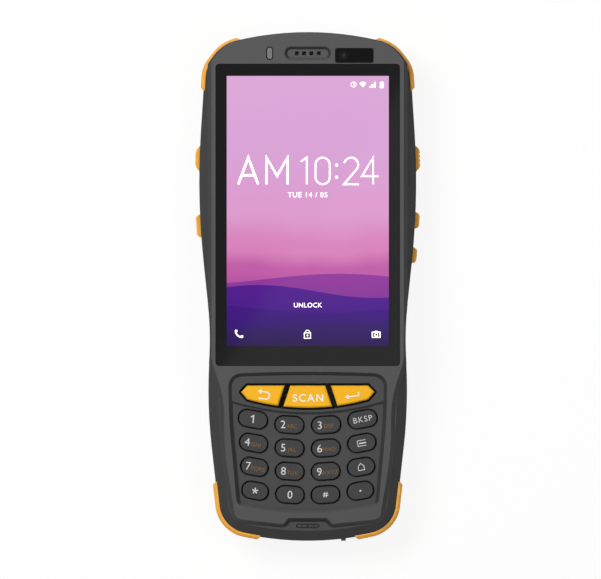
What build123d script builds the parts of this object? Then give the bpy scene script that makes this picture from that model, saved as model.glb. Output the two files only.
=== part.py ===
from build123d import *
from math import cos, radians, tan
import os

# A portable barcode data terminal, lying on its back.  +X is its right, +Y its head end (where the
# scanner looks out), +Z its face.  The origin is the middle of its back, on the battery cover's plane.
# All sizes are in millimetres.

# ---- display stack
DISPLAY_WIDTH = 52.3          # lit area, across
DISPLAY_LENGTH = 87.2         # lit area, along
BEZEL_SIDE = 3.5              # black border of the glass beside the lit area
BEZEL_TOP = 3.8
BEZEL_BOTTOM = 6.3
GLASS_CORNER = 1.2
GLASS_THICKNESS = 1.5
GLASS_SINK = 0.2              # glass face below the deck
GLASS_GAP = 0.1               # round the glass
LEDGE = 1.35                  # ledge under the glass's edge
LCD_THICKNESS = 2.2
LCD_GAP = 0.35                # round the display module
TRAY_THICKNESS = 0.9          # metal frame that carries the display module
TRAY_RIM = 0.8
TRAY_GAP = 0.3

# ---- keypad
KEY_WIDTH = 5.1               # number key cap, across its short side
KEY_RING = 0.52               # gap between a number key's cap and its aperture
KEY_TRAVEL = 0.5
KEY_SINK = 0.6                # number key tops below the deck
FUNCTION_SINK = 0.3           # function key tops below the deck
KEY_EDGE = 0.45               # bevel round a function key's top
INNER_LENGTH = 8.9            # first inner cap, tip to tip
OUTER_LENGTH = 9.0            # first outer cap, tip to tip
INNER_SHRINK = 0.06           # caps get shorter from row to row
OUTER_SHRINK = 0.3
INNER_COLUMN = 5.92           # first inner cap's centre from the centre line
OUTER_COLUMN = 17.68
INNER_DRIFT = 0.06            # columns draw in from row to row
OUTER_DRIFT = 0.23
INNER_PITCH = 7.52
OUTER_PITCH = 7.7
OUTER_LIFT = 1.8              # the outer column stands this much higher in the first row
INNER_TILT = 4.0
OUTER_TILT = 10.5
ROWS = 4
FUNCTION_MARGIN = 4.45        # from the recess's top edge to the function keys
FUNCTION_HEIGHT = 7.15        # function key row on the centre line
FUNCTION_HALF = 19.5          # half the function key row at its top corners
FUNCTION_TIP = 2.0            # pointed tips beyond those corners
FUNCTION_TIP_DROP = 2.05
FUNCTION_SIDE = 4.45          # height of the row at its outer lower corners
FUNCTION_SPLIT = 6.55         # middle of the split between function keys, at the top
FUNCTION_SPLIT_LOW = 8.9      # and at the bottom
FUNCTION_GAP = 1.85           # dark gap between function keys
FUNCTION_RING = 0.75          # aperture round the function keys
FIELD_STEP_GAP = 2.0          # from the function keys to the step down to the number keys
ROW_START = 3.5               # from that step to the first inner row
ROW_END = 5.95                # from the last inner row to the recess's lower edge
FUNCTION_FIELD = 1.1          # depth of the recess round the function keys
NUMBER_FIELD = 1.5            # depth round the number keys
FIELD_PLATE = 1.1             # housing left under the number field
KEYPAD_HALF = 25.75           # half width of the recess at its head end
KEYPAD_FOOT_HALF = 22.9       # and at its foot end
FLANGE_THICKNESS = 0.8
FLANGE_REACH = 0.4            # flange beyond the aperture
FLANGE_GAP = 0.1
PLUNGER_HALF = 1.1            # half width of a key's square plunger
PLUNGER_LENGTH = 1.8
DOME_HEIGHT = 0.35
DOME_HALF = 1.9               # half width of a snap plate
DOME_GAP = 0.05               # left under a plunger when its key is down
MAT_THICKNESS = 0.6
MAT_RIM = 0.4
MAT_INSET = 0.7               # mat inside the recess outline

# ---- housing
HEAD_BAND = 9.85              # from the glass to the head end, on the centre line
CHIN = 2.0                    # from the glass to the keypad recess
FOOT_BAND = 8.85              # from the keypad recess to the foot end
DECK_RIM = 1.4                # deck beside the glass
DECK_MARGIN = 1.15            # deck beside the keypad recess
SHOULDER = 4.85               # body's widest corner beyond the deck
WIDEST_DROP = 52.4            # body's widest corner below the head end
WAIST_RISE = 11.0             # body's waist above the glass's lower edge
DECK_TAPER = 20.0             # length of deck that narrows towards the foot end
WALL = 1.8
DECK_STEP = 1.7               # deck above the crease
DECK_STEP_RUN = 1.2
FLANK_RUN = 3.3               # sloping flank, inwards
FLANK_DROP = 3.8              # sloping flank, downwards
TOP_EDGE = 0.5                # bevel where the deck meets the ends
BACK_BEVEL = 2.8
FLOOR = 2.0                   # thickness of the back
NOTCH_HALF = 6.1              # microphone notch in the foot end of the deck
NOTCH_DEPTH = 1.9
BUMPER_STAND = 0.95           # bumpers beyond the side walls
BUMPER_SINK = 0.6
BUMPER_WRAP = 0.5             # bumpers beyond the side walls' upper and lower edges
BUMPER_BEVEL = 0.8
HEAD_BUMPER_WIDTH = 14.6      # from the body's widest corner inwards
HEAD_BUMPER_LENGTH = 18.4
FOOT_BUMPER_WIDTH = 7.6       # from the keypad's foot corner inwards
FOOT_BUMPER_LENGTH = 18.8
OUTSIDE = 5.0                 # the bumpers' sectors reach this far beyond the body

# ---- boards, battery and its cover
BOARD_THICKNESS = 1.0
KEY_BOARD_THICKNESS = 1.2
BOARD_HALF = 26.5
BOARD_INSET = 4.5             # board edge inside the body's outline
BOARD_HEAD = 17.5             # board's edges inside the head and the foot end
BOARD_FOOT = 5.8
UNDER_BOARD = 2.1             # from the battery bay's roof to the main board
SHIELD_HEIGHT = 1.8
SHIELD_SHEET = 0.3
BATTERY_WIDTH = 46.0
BATTERY_LENGTH = 72.0
BATTERY_THICKNESS = 6.0
BATTERY_Y = -14.0
BATTERY_GAP = 0.5
BAY_GAP = 0.3                 # above and below the battery
BAY_WALL = 1.2
BAY_ROOF = 1.0
COVER_THICKNESS = 1.4
COVER_SIDE = 2.0              # cover beyond the bay, each side
COVER_HEAD = 3.5              # cover beyond the bay, at its hinge end
COVER_FOOT = 8.5              # cover beyond the bay, at its screw end
COVER_GAP = 0.35
COVER_CORNER = 4.0
COVER_EDGE = 0.65             # bevel round the cover's outer face
COVER_HINGE_INSET = 1.1       # hinge line inside the cover's head edge and above its outer face
HINGE_BEAD = 0.7              # radius of the bead along the hinge line
HINGE_ROOM = 1.5              # room round the hinge line for the bead and the cover's edge
SEAL_THICKNESS = 0.5
SEAL_WIDTH = 1.0
LIP_THICKNESS = 1.5
TAB_WIDTH = 8.0
TAB_X = 12.0
TAB_REACH = 2.0
TAB_THICKNESS = 0.75
COVER_SCREW_INSET = 6.5       # from the cover's side
COVER_SCREW_HEAD = 2.4        # radius
COVER_SCREW_SHAFT = 1.0       # radius
COVER_SCREW_SEAT = 1.1        # underside of the screw's head
SCREW_CLEAR = 0.25

# ---- ends and sides
USB_WIDTH = 9.0
USB_HEIGHT = 3.2
USB_DEPTH = 7.0
FLAP_HALF = 12.3              # from the port's middle to the flap's free end and to its hinge
FLAP_HEIGHT = 6.6
FLAP_THICKNESS = 1.7
FLAP_GAP = 0.3
FLAP_BARREL = 1.0             # radius of the rolled hinge end
FLAP_MARGIN = 0.7             # from the housing split to the flap
FLAP_TAB_WIDTH = 1.5          # pull tab on the flap's free end
FLAP_TAB_HEIGHT = 1.2
FLAP_TAB_STAND = 0.8          # pull tab beyond the foot end
PLUG_DEPTH = 2.0
SCAN_WIDTH = 26.0
SCAN_HEIGHT = 6.6
SCAN_MARGIN = 0.9             # from the housing split to the scan window
SCAN_SINK = 1.4
SCAN_GLASS = 1.2
ENGINE_WIDTH = 22.0
ENGINE_LENGTH = 12.0
ENGINE_HEIGHT = 6.2
SIDE_KEY_HEIGHT = 4.4
SIDE_KEY_STAND = 1.4
SIDE_KEY_TRAVEL = 0.6
SIDE_KEY_GAP = 0.25
SIDE_KEY_EDGE = 0.45          # bevel round a side key's crest
RIDGED_KEY = "scan_key_right"
RIDGES = 3
GROOVE = 0.5                  # side of the square groove cut across a ridged crest
SCAN_KEYS = 18.3              # scan keys above the glass's middle
POWER_KEY = -3.5
VOLUME_UP_KEY = -1.7
VOLUME_DOWN_KEY = -13.0
SIDE_FLANGE = 0.8             # flange of a side key, behind the wall
SIDE_FLANGE_REACH = 0.8
SIDE_FLANGE_GAP = 0.2
SWITCH_WIDTH = 4.4
SWITCH_PLUNGER = 1.2          # plunger out of the switch
PLUNGER_ROOT = 0.2            # plunger inside the switch
PLUNGER_WIDTH = 1.6
PLUNGER_HEIGHT = 0.8
SWITCH_CLEAR = 0.1            # from the plunger to a side key held in

# ---- openings in the face
EAR_LENGTH = 15.0
EAR_WIDTH = 4.4
EAR_DEPTH = 0.9
EAR_HOLE = 1.2
EAR_PITCH = 2.38
HEAD_FITTINGS = 6.35          # fittings' centre line below the head end
LED_WIDTH = 2.25
LED_LENGTH = 4.3
LED_X = -12.28
LED_GAP = 0.3                 # round the light pipe
SENSOR_WIDTH = 12.4
SENSOR_HEIGHT = 4.76
SENSOR_X = 15.05
SENSOR_SEAT = 0.9             # depth of the sensor window's seat
SENSOR_DROP = 0.7             # below the fittings' centre line
CAMERA_X = 11.47
MIC_LENGTH = 7.6
MIC_WIDTH = 1.42
MIC_RISE = 4.65               # microphone slot above the foot end

# ---- openings in the back
BACK_WINDOW_WIDTH = 18.6      # window over the rear camera and its flash
BACK_WINDOW_LENGTH = 9.6
BACK_WINDOW_EDGE = 1.4        # corners cut off the window
BACK_WINDOW_RIM = 0.9         # ledge under the window's edge
BACK_WINDOW_SEAT = 1.0        # depth of that ledge
CAMERA_OFFSET = 4.2           # rear camera from the window's middle
FLASH_OFFSET = -5.2
BACK_WINDOW_X = 13.0
SPEAKER_X = 14.0
SPEAKER_WIDTH = 15.0
SPEAKER_LENGTH = 11.0
SPEAKER_DEPTH = 3.5
SLOT_LENGTH = 10.0            # sound slots in the back
SLOT_WIDTH = 0.9
SLOT_PITCH = 2.0
SLOTS = 5
BACK_FITTINGS = 21.8          # fittings' centre line below the head end

# ---- heights, from the back upwards
Z_LIP = COVER_THICKNESS + SEAL_THICKNESS
Z_BATTERY = Z_LIP + BAY_GAP
Z_BAY_CEILING = Z_BATTERY + BATTERY_THICKNESS + BAY_GAP
Z_BAY_TOP = Z_BAY_CEILING + BAY_ROOF
Z_BOARD = Z_BAY_TOP + UNDER_BOARD
Z_BOARD_TOP = Z_BOARD + BOARD_THICKNESS
Z_KEY_BOARD = Z_BOARD_TOP + KEY_BOARD_THICKNESS
Z_DOME = Z_KEY_BOARD + DOME_HEIGHT
Z_PLUNGER = Z_DOME + DOME_GAP + KEY_TRAVEL
Z_FLANGE = Z_PLUNGER + PLUNGER_LENGTH
Z_FLANGE_TOP = Z_FLANGE + FLANGE_THICKNESS
Z_CEILING = Z_FLANGE_TOP + FLANGE_GAP
Z_DECK = Z_CEILING + FIELD_PLATE + NUMBER_FIELD
Z_KEY_TOP = Z_DECK - KEY_SINK
Z_CREASE = Z_DECK - DECK_STEP
Z_SIDE = Z_CREASE - FLANK_DROP
Z_SIDE_CEILING = Z_SIDE + WALL / 6
Z_GLASS_TOP = Z_DECK - GLASS_SINK
Z_GLASS = Z_GLASS_TOP - GLASS_THICKNESS
Z_LCD = Z_GLASS - LCD_THICKNESS
Z_TRAY = Z_LCD - TRAY_THICKNESS
Z_PORT = Z_BOARD - USB_HEIGHT / 2
Z_PART = Z_PORT - FLAP_HEIGHT / 2 - FLAP_MARGIN
Z_SCAN = Z_PART + SCAN_MARGIN + SCAN_HEIGHT / 2
Z_ENGINE = Z_SCAN - ENGINE_HEIGHT / 2
Z_SIDE_KEY = (Z_PART + Z_SIDE) / 2

# ---- places along the body, from the head end downwards
GLASS_WIDTH = DISPLAY_WIDTH + 2 * BEZEL_SIDE
GLASS_LENGTH = DISPLAY_LENGTH + BEZEL_TOP + BEZEL_BOTTOM
KEYPAD_LENGTH = (FUNCTION_MARGIN + FUNCTION_HEIGHT + FIELD_STEP_GAP + ROW_START
                 + (ROWS - 1) * INNER_PITCH + ROW_END)
HALF_LENGTH = (HEAD_BAND + GLASS_LENGTH + CHIN + KEYPAD_LENGTH + FOOT_BAND) / 2
Y_GLASS_TOP = HALF_LENGTH - HEAD_BAND
Y_GLASS_LOW = Y_GLASS_TOP - GLASS_LENGTH
Y_GLASS = (Y_GLASS_TOP + Y_GLASS_LOW) / 2
Y_RECESS = Y_GLASS_LOW - CHIN
Y_FUNCTION = Y_RECESS - FUNCTION_MARGIN
Y_STEP = Y_FUNCTION - FUNCTION_HEIGHT - FIELD_STEP_GAP
Y_FIRST_ROW = Y_STEP - ROW_START
Y_RECESS_LOW = Y_RECESS - KEYPAD_LENGTH
Y_FITTINGS = HALF_LENGTH - HEAD_FITTINGS
Y_SENSOR = Y_FITTINGS - SENSOR_DROP
Y_MIC = MIC_RISE - HALF_LENGTH
DECK_HALF = GLASS_WIDTH / 2 + DECK_RIM
HEAD_HALF = DECK_HALF + SHOULDER
COVER_TOP = BATTERY_Y + BATTERY_LENGTH / 2 + BATTERY_GAP + COVER_HEAD
COVER_LOW = BATTERY_Y - BATTERY_LENGTH / 2 - BATTERY_GAP - COVER_FOOT
COVER_HALF = BATTERY_WIDTH / 2 + BATTERY_GAP + COVER_SIDE
COVER_HINGE = (COVER_TOP - COVER_HINGE_INSET, COVER_HINGE_INSET)     # y and z of the cover's hinge line
COVER_SCREW_X = COVER_HALF - COVER_SCREW_INSET
COVER_SCREW_Y = COVER_LOW + COVER_FOOT / 2 - 0.4
SHIELDS = (                   # y, width and length of each shielding can
    (Y_GLASS + GLASS_LENGTH / 5, GLASS_WIDTH * 0.58, GLASS_LENGTH * 0.27),
    (Y_GLASS - GLASS_LENGTH / 7, GLASS_WIDTH * 0.68, GLASS_LENGTH * 0.31),
)
BACK_WINDOW = (BACK_WINDOW_X, HALF_LENGTH - BACK_FITTINGS)
SPEAKER = (-SPEAKER_X, HALF_LENGTH - BACK_FITTINGS)

# Corners of the right half of each outline: x, y, and the share of the shorter neighbouring run
# that the corner's round takes up.  The left half mirrors them.
BODY = (
    (0, HALF_LENGTH + 3.15, 0.82),
    (HEAD_HALF - 8.5, HALF_LENGTH - 3.2, 0.46),
    (HEAD_HALF - 2.65, HALF_LENGTH - 10.9, 0.3),
    (HEAD_HALF, HALF_LENGTH - WIDEST_DROP, 0.5),
    (DECK_HALF + 0.3, Y_GLASS_LOW + WAIST_RISE, 0.33),
    (KEYPAD_HALF + 6.85, Y_STEP + 2.8, 0.57),
    (KEYPAD_FOOT_HALF + 5.2, 3.6 - HALF_LENGTH, 0.26),
    (0, -HALF_LENGTH - 2.4, 0.72),
)
DECK = (
    (DECK_HALF, HALF_LENGTH + 10.0, 0.02),
    (DECK_HALF, Y_GLASS_LOW + 1.5, 0.15),
    (KEYPAD_HALF + DECK_MARGIN, Y_RECESS - 8.6, 0.5),
    (KEYPAD_HALF + DECK_MARGIN, Y_RECESS_LOW + DECK_TAPER, 0.45),
    (KEYPAD_FOOT_HALF + DECK_MARGIN / 3, Y_RECESS_LOW - NOTCH_DEPTH, 0.13),
    (NOTCH_HALF + NOTCH_DEPTH, Y_RECESS_LOW - 1.6 - NOTCH_DEPTH, 0.12),
    (NOTCH_HALF, Y_RECESS_LOW - 1.6, 0.12),
)
RECESS = (
    (0, Y_RECESS + 0.3, 0.6),
    (KEYPAD_HALF, Y_RECESS - 0.6, 0.27),
    (KEYPAD_HALF - 0.4, Y_RECESS - 16.6, 0.3),
    (KEYPAD_FOOT_HALF, Y_RECESS_LOW + 2.5, 0.085),
    (0, Y_RECESS_LOW - 1.5, 0.74),
)
KEY_NAMES = (
    ("key_1", "key_2", "key_3", "key_backspace"),
    ("key_4", "key_5", "key_6", "key_menu"),
    ("key_7", "key_8", "key_9", "key_home"),
    ("key_star", "key_0", "key_hash", "key_dot"),
)


# ---------------------------------------------------------------- shared shapes
def keep(piece, name):
    """Label a finished piece and write it as its own STEP file."""
    piece.part.label = name
    export_step(piece.part, f"parts/{name}.step")


def rounds(right_half):
    """Each corner of a mirrored outline: its place, the directions to its neighbours, the length of
    run that its round takes on either side, and the angle it turns through."""
    corners = list(right_half) + [(-x, y, share) for x, y, share in reversed(right_half) if x]
    found = []
    for index, (x, y, share) in enumerate(corners):
        corner = Vector(x, y)
        before = Vector(*corners[index - 1][:2]) - corner
        after = Vector(*corners[(index + 1) % len(corners)][:2]) - corner
        reach = share * min(before.length, after.length)
        turn = radians(180 - before.get_angle(after))
        found.append((corner, before.normalized(), after.normalized(), reach, turn))
    return found


def outline(right_half, grow=0.0):
    """Closed face of tangent lines and arcs, mirrored from its right half and grown by an offset."""
    corners = rounds(right_half)
    radii = [reach / tan(turn / 2) for _, _, _, reach, turn in corners]
    with BuildSketch() as face:
        with BuildLine():
            FilletPolyline(*[corner for corner, _, _, _, _ in corners], radius=radii, close=True)
        make_face()
        if grow:
            offset(amount=grow)
    return face.sketch


def inner_outline(right_half, inset):
    """Straight-sided face inside an outline, for hidden inner walls: three points round each corner."""
    points = []
    for corner, before, after, reach, turn in rounds(right_half):
        cut = reach / tan(turn / 2) * (1 / cos(turn / 2) - 1)
        middle = (before + after).normalized() * cut
        points += [corner + before * reach, corner + middle, corner + after * reach]
    with BuildSketch() as face:
        with BuildLine():
            Polyline(*points, close=True)
        make_face()
        offset(amount=-inset, kind=Kind.INTERSECTION)
    return face.sketch


def prism(face, low, high, taper=0.0, mode=Mode.ADD):
    """Extrude a face between two heights in the piece being built."""
    with BuildSketch(Plane.XY.offset(low)) as profile:
        add(face)
    extrude(profile.sketch, amount=high - low, taper=taper, mode=mode)


def block(x_range, y_range, z_range, mode=Mode.ADD):
    """Rectangular block between three pairs of limits."""
    sizes = [high - low for low, high in (x_range, y_range, z_range)]
    middle = [(high + low) / 2 for low, high in (x_range, y_range, z_range)]
    with Locations(tuple(middle)):
        Box(*sizes, mode=mode)


def rod(places, radius, low, high, mode=Mode.ADD):
    """Upright round rod at each place."""
    with Locations(*[(x, y, (low + high) / 2) for x, y in places]):
        Cylinder(radius, high - low, mode=mode)


def both_sides(x, y):
    """A place and its mirror image."""
    return [(-x, y), (x, y)]


def panel(width, length, corner, y=0.0, x=0.0):
    """Rectangle with rounded corners."""
    with BuildSketch() as face:
        with Locations((x, y)):
            RectangleRounded(width, length, corner)
    return face.sketch


def plate(width, length, y=0.0, x=0.0, tilt=0.0):
    """Plain rectangle, turned by a tilt."""
    with BuildSketch() as face:
        with Locations(Location((x, y), tilt)):
            Rectangle(width, length)
    return face.sketch


def pill(length, width, x, y, tilt=0.0):
    """Slot-shaped face with round ends."""
    with BuildSketch() as face:
        with Locations(Location((x, y), tilt)):
            SlotOverall(length, width)
    return face.sketch


def clipped(face, x_range, y_range):
    """A face cut back to a rectangle."""
    with BuildSketch() as cut:
        add(face)
        with Locations(((x_range[0] + x_range[1]) / 2, (y_range[0] + y_range[1]) / 2)):
            Rectangle(x_range[1] - x_range[0], y_range[1] - y_range[0], mode=Mode.INTERSECT)
    return cut.sketch


BODY_FACE = outline(BODY)


def side_x(y):
    """Half width of the body at a place along it."""
    probe = Edge.make_line((0, y), (2 * HEAD_HALF, y))
    for edge in BODY_FACE.edges():
        if edge.center().X > 0:
            for hit in edge.intersect(probe) or []:
                return hit.X
    return HEAD_HALF


def side_plane(side, y, z):
    """Plane on a side wall: its X points straight out of the wall and its Y runs along it."""
    slope = side_x(y + 0.5) - side_x(y - 0.5)
    return Plane(origin=(side * side_x(y), y, z), x_dir=(side, -slope, 0), z_dir=(0, 0, 1))


# ---------------------------------------------------------------- keypad layout
def number_keys():
    """Name, place, tilt and cap length of each number key."""
    columns = (
        (-1, OUTER_COLUMN, OUTER_DRIFT, OUTER_PITCH, OUTER_LIFT, OUTER_TILT, OUTER_LENGTH, OUTER_SHRINK),
        (-1, INNER_COLUMN, INNER_DRIFT, INNER_PITCH, 0, INNER_TILT, INNER_LENGTH, INNER_SHRINK),
        (1, INNER_COLUMN, INNER_DRIFT, INNER_PITCH, 0, INNER_TILT, INNER_LENGTH, INNER_SHRINK),
        (1, OUTER_COLUMN, OUTER_DRIFT, OUTER_PITCH, OUTER_LIFT, OUTER_TILT, OUTER_LENGTH, OUTER_SHRINK),
    )
    keys = []
    for row in range(ROWS):
        for name, column in zip(KEY_NAMES[row % len(KEY_NAMES)], columns):
            side, start, drift, pitch, lift, tilt, length, shrink = column
            x = side * (start - drift * row)
            y = Y_FIRST_ROW + lift - pitch * row
            keys.append((name, x, y, side * tilt, length - shrink * row))
    return keys


def function_band(grow=0.0, corners=Kind.INTERSECTION):
    """Face of the whole function key row: straight top, pointed tips, sagging lower edge."""
    low_side = Y_FUNCTION - FUNCTION_SIDE
    with BuildSketch() as band:
        with BuildLine():
            Polyline(
                (FUNCTION_HALF, low_side),
                (FUNCTION_HALF + FUNCTION_TIP, Y_FUNCTION - FUNCTION_TIP_DROP),
                (FUNCTION_HALF, Y_FUNCTION),
                (-FUNCTION_HALF, Y_FUNCTION),
                (-FUNCTION_HALF - FUNCTION_TIP, Y_FUNCTION - FUNCTION_TIP_DROP),
                (-FUNCTION_HALF, low_side),
            )
            ThreePointArc((-FUNCTION_HALF, low_side), (0, Y_FUNCTION - FUNCTION_HEIGHT),
                          (FUNCTION_HALF, low_side))
        make_face()
        if grow:
            offset(amount=grow, kind=corners)
    return band.sketch


def function_face(side, band_grow=0.0, split_grow=0.0):
    """Face of one function key: side is -1, 0 or 1 for left, middle or right."""
    top = Y_FUNCTION + FUNCTION_RING * 2
    low = Y_FUNCTION - FUNCTION_HEIGHT - FUNCTION_RING * 2
    lean = (FUNCTION_SPLIT_LOW - FUNCTION_SPLIT) / FUNCTION_HEIGHT
    lean_top = FUNCTION_SPLIT - lean * (top - Y_FUNCTION)
    lean_low = FUNCTION_SPLIT + lean * (Y_FUNCTION - low)
    inner = split_grow - FUNCTION_GAP / 2
    if side:
        far = side * (FUNCTION_HALF + FUNCTION_TIP * 3)
        near_top = side * (lean_top - inner)
        near_low = side * (lean_low - inner)
    else:
        far = 0
        near_top = lean_top + inner
        near_low = lean_low + inner
    corners = [(far, top), (near_top, top), (near_low, low), (far, low)]
    if not side:
        corners = [(-near_top, top), (near_top, top), (near_low, low), (-near_low, low)]
    with BuildSketch() as face:
        add(function_band(band_grow))
        with BuildSketch(mode=Mode.INTERSECT):
            with BuildLine():
                Polyline(*corners, close=True)
            make_face()
    return face.sketch


def function_keys():
    """Name, side and plunger place of each function key."""
    middle = Y_FUNCTION - FUNCTION_HEIGHT / 2
    reach = (FUNCTION_HALF + FUNCTION_SPLIT) / 2
    return [("key_back", -1, (-reach, middle + 0.8)), ("key_scan", 0, (0, middle)),
            ("key_enter", 1, (reach, middle + 0.8))]


def below_step(face):
    """The part of a face on the number keys' side of the curved step."""
    sag = 4.0
    with BuildSketch() as field:
        add(face)
        with BuildSketch(mode=Mode.INTERSECT):
            with BuildLine():
                ThreePointArc((-KEYPAD_HALF, Y_STEP + sag), (0, Y_STEP), (KEYPAD_HALF, Y_STEP + sag))
                Polyline((KEYPAD_HALF, Y_STEP + sag), (KEYPAD_HALF, Y_RECESS_LOW - sag),
                         (-KEYPAD_HALF, Y_RECESS_LOW - sag), (-KEYPAD_HALF, Y_STEP + sag))
            make_face()
    return field.sketch


# ---------------------------------------------------------------- bumpers
# Corners of each sector: across the wall at one end, bevelled outwards, round the outside, and back
# in over the bevel of the other end.
HEAD_SECTOR = (
    (HEAD_HALF - HEAD_BUMPER_WIDTH - 1.6, HALF_LENGTH - 8.0),
    (HEAD_HALF - HEAD_BUMPER_WIDTH, HALF_LENGTH - 2.0),
    (HEAD_HALF - HEAD_BUMPER_WIDTH + 2.8, HALF_LENGTH - 0.7),
    (HEAD_HALF + OUTSIDE, HALF_LENGTH + OUTSIDE),
    (HEAD_HALF, HALF_LENGTH - HEAD_BUMPER_LENGTH + 2.5),
    (HEAD_HALF - 2.6, HALF_LENGTH - HEAD_BUMPER_LENGTH),
    (HEAD_HALF - 8.0, HALF_LENGTH - HEAD_BUMPER_LENGTH - 0.9),
)
FOOT_SECTOR = (
    (KEYPAD_FOOT_HALF + 1.0, FOOT_BUMPER_LENGTH + 0.9 - HALF_LENGTH),
    (KEYPAD_FOOT_HALF + 6.9, FOOT_BUMPER_LENGTH - HALF_LENGTH),
    (KEYPAD_FOOT_HALF + 8.9, FOOT_BUMPER_LENGTH - 2.4 - HALF_LENGTH),
    (KEYPAD_FOOT_HALF + 2 * OUTSIDE, -HALF_LENGTH - OUTSIDE),
    (KEYPAD_FOOT_HALF - FOOT_BUMPER_WIDTH + 2.5, -HALF_LENGTH - 0.7),
    (KEYPAD_FOOT_HALF - FOOT_BUMPER_WIDTH, 1.0 - HALF_LENGTH),
    (KEYPAD_FOOT_HALF - FOOT_BUMPER_WIDTH - 1.3, 7.0 - HALF_LENGTH),
)
Z_BUMPER = BACK_BEVEL - BUMPER_WRAP
Z_BUMPER_TOP = Z_SIDE + BUMPER_WRAP


def sector(corners, side):
    """Corner of the plan that one bumper covers."""
    with BuildSketch() as face:
        with BuildLine():
            Polyline(*[(side * x, y) for x, y in corners], close=True)
        make_face()
    return face.sketch


def make_bumper(name, corners, side):
    """Rubber corner bumper: a band round the body's corner, sunk into both housings."""
    with BuildPart() as bumper:
        prism(outline(BODY, BUMPER_STAND), Z_BUMPER, Z_BUMPER_TOP)
        rims = bumper.edges().group_by(Axis.Z)
        chamfer(rims[0] + rims[-1], BUMPER_BEVEL)
        prism(outline(BODY, -BUMPER_SINK), Z_BUMPER, Z_BUMPER_TOP, mode=Mode.SUBTRACT)
        prism(sector(corners, side), Z_BUMPER, Z_BUMPER_TOP, mode=Mode.INTERSECT)
    keep(bumper, name)


def cut_bumper_seats():
    """Sink the four bumpers' seats into the housing being built."""
    with BuildSketch() as ring:
        add(outline(BODY, BUMPER_STAND))
        add(outline(BODY, -BUMPER_SINK), mode=Mode.SUBTRACT)
    for corners in (HEAD_SECTOR, FOOT_SECTOR):
        for side in (-1, 1):
            with BuildSketch() as seat:
                add(ring.sketch)
                add(sector(corners, side), mode=Mode.INTERSECT)
            prism(seat.sketch, Z_BUMPER, Z_BUMPER_TOP, mode=Mode.SUBTRACT)


# ---------------------------------------------------------------- side keys
# name, side, place along the body, length at the wall, length at the crest
SIDE_KEYS = (
    ("scan_key_left", -1, Y_GLASS + SCAN_KEYS, 8.4, 4.65),
    ("scan_key_right", 1, Y_GLASS + SCAN_KEYS, 8.4, 5.6),
    ("power_key", -1, Y_GLASS + POWER_KEY, 7.7, 6.1),
    ("volume_up_key", 1, Y_GLASS + VOLUME_UP_KEY, 5.5, 4.1),
    ("volume_down_key", 1, Y_GLASS + VOLUME_DOWN_KEY, 5.35, 3.95),
)
SIDE_BACK = WALL + SIDE_FLANGE_GAP + SIDE_FLANGE          # flange's back behind the wall's face
SWITCH_FACE = SIDE_BACK + SIDE_KEY_TRAVEL + SWITCH_CLEAR  # switch tip behind the wall's face


def side_profile(length, crest, grow=0.0):
    """Plan of a side key's cap and stem: X out of the wall, Y along it."""
    with BuildSketch() as profile:
        with BuildLine():
            Polyline(
                (-WALL - SIDE_FLANGE_GAP - SIDE_FLANGE / 2, -length / 2 - grow),
                (0, -length / 2 - grow),
                (SIDE_KEY_STAND, -crest / 2 - grow),
                (SIDE_KEY_STAND, crest / 2 + grow),
                (0, length / 2 + grow),
                (-WALL - SIDE_FLANGE_GAP - SIDE_FLANGE / 2, length / 2 + grow),
                close=True,
            )
        make_face()
    return profile.sketch


def make_side_key(name, side, y, length, crest):
    """Side key: a cap through the wall, a flange behind it, and grooves across a ridged key's crest."""
    place = side_plane(side, y, Z_SIDE_KEY)
    middle_of_flange = -SIDE_BACK + SIDE_FLANGE / 2
    with BuildPart() as key:
        with BuildSketch(place) as cap:
            add(side_profile(length, crest))
        extrude(cap.sketch, amount=SIDE_KEY_HEIGHT / 2, both=True)
        crest_edges = key.faces().sort_by(Axis(place.origin, place.x_dir))[-1].edges()
        chamfer(crest_edges, SIDE_KEY_EDGE)
        with Locations(place * Location((middle_of_flange, 0, 0))):
            Box(SIDE_FLANGE, length + 2 * SIDE_FLANGE_REACH, SIDE_KEY_HEIGHT + 2 * SIDE_FLANGE_REACH)
        if name == RIDGED_KEY:
            for index in range(RIDGES):
                along = (index - (RIDGES - 1) / 2) * crest / (RIDGES + 1)
                with Locations(place * Location((SIDE_KEY_STAND, along, 0), 45)):
                    Box(GROOVE, GROOVE, SIDE_KEY_HEIGHT, mode=Mode.SUBTRACT)
    keep(key, name)


def cut_side_apertures():
    """Openings for the side keys in the front housing."""
    for _, side, y, length, _ in SIDE_KEYS:
        place = side_plane(side, y, Z_SIDE_KEY)
        room = SIDE_FLANGE_REACH + SIDE_KEY_GAP
        with Locations(place * Location((-WALL / 2, 0, 0))):
            Box(WALL * 3, length + 2 * SIDE_KEY_GAP, SIDE_KEY_HEIGHT + 2 * SIDE_KEY_GAP,
                mode=Mode.SUBTRACT)
        with Locations(place * Location((-3 * WALL / 2, 0, 0))):
            Box(WALL, length + 2 * room, SIDE_KEY_HEIGHT + 2 * room, mode=Mode.SUBTRACT)


def make_side_switches():
    """Push switches on the main board's edge, one behind each side key."""
    with BuildPart() as switches:
        for _, side, y, _, _ in SIDE_KEYS:
            place = side_plane(side, y, Z_SIDE_KEY)
            tip = side_x(y) - SWITCH_FACE
            body_end = tip - SWITCH_PLUNGER
            block(sorted((side * BOARD_HALF, side * body_end)),
                  (y - SWITCH_WIDTH / 2, y + SWITCH_WIDTH / 2), (Z_BAY_TOP + BAY_GAP, Z_BOARD_TOP))
            reach = SWITCH_PLUNGER + PLUNGER_ROOT
            with Locations(place * Location((-SWITCH_FACE - reach / 2, 0, 0))):
                Box(reach, PLUNGER_WIDTH, PLUNGER_HEIGHT)
    keep(switches, "side_switches")


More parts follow.
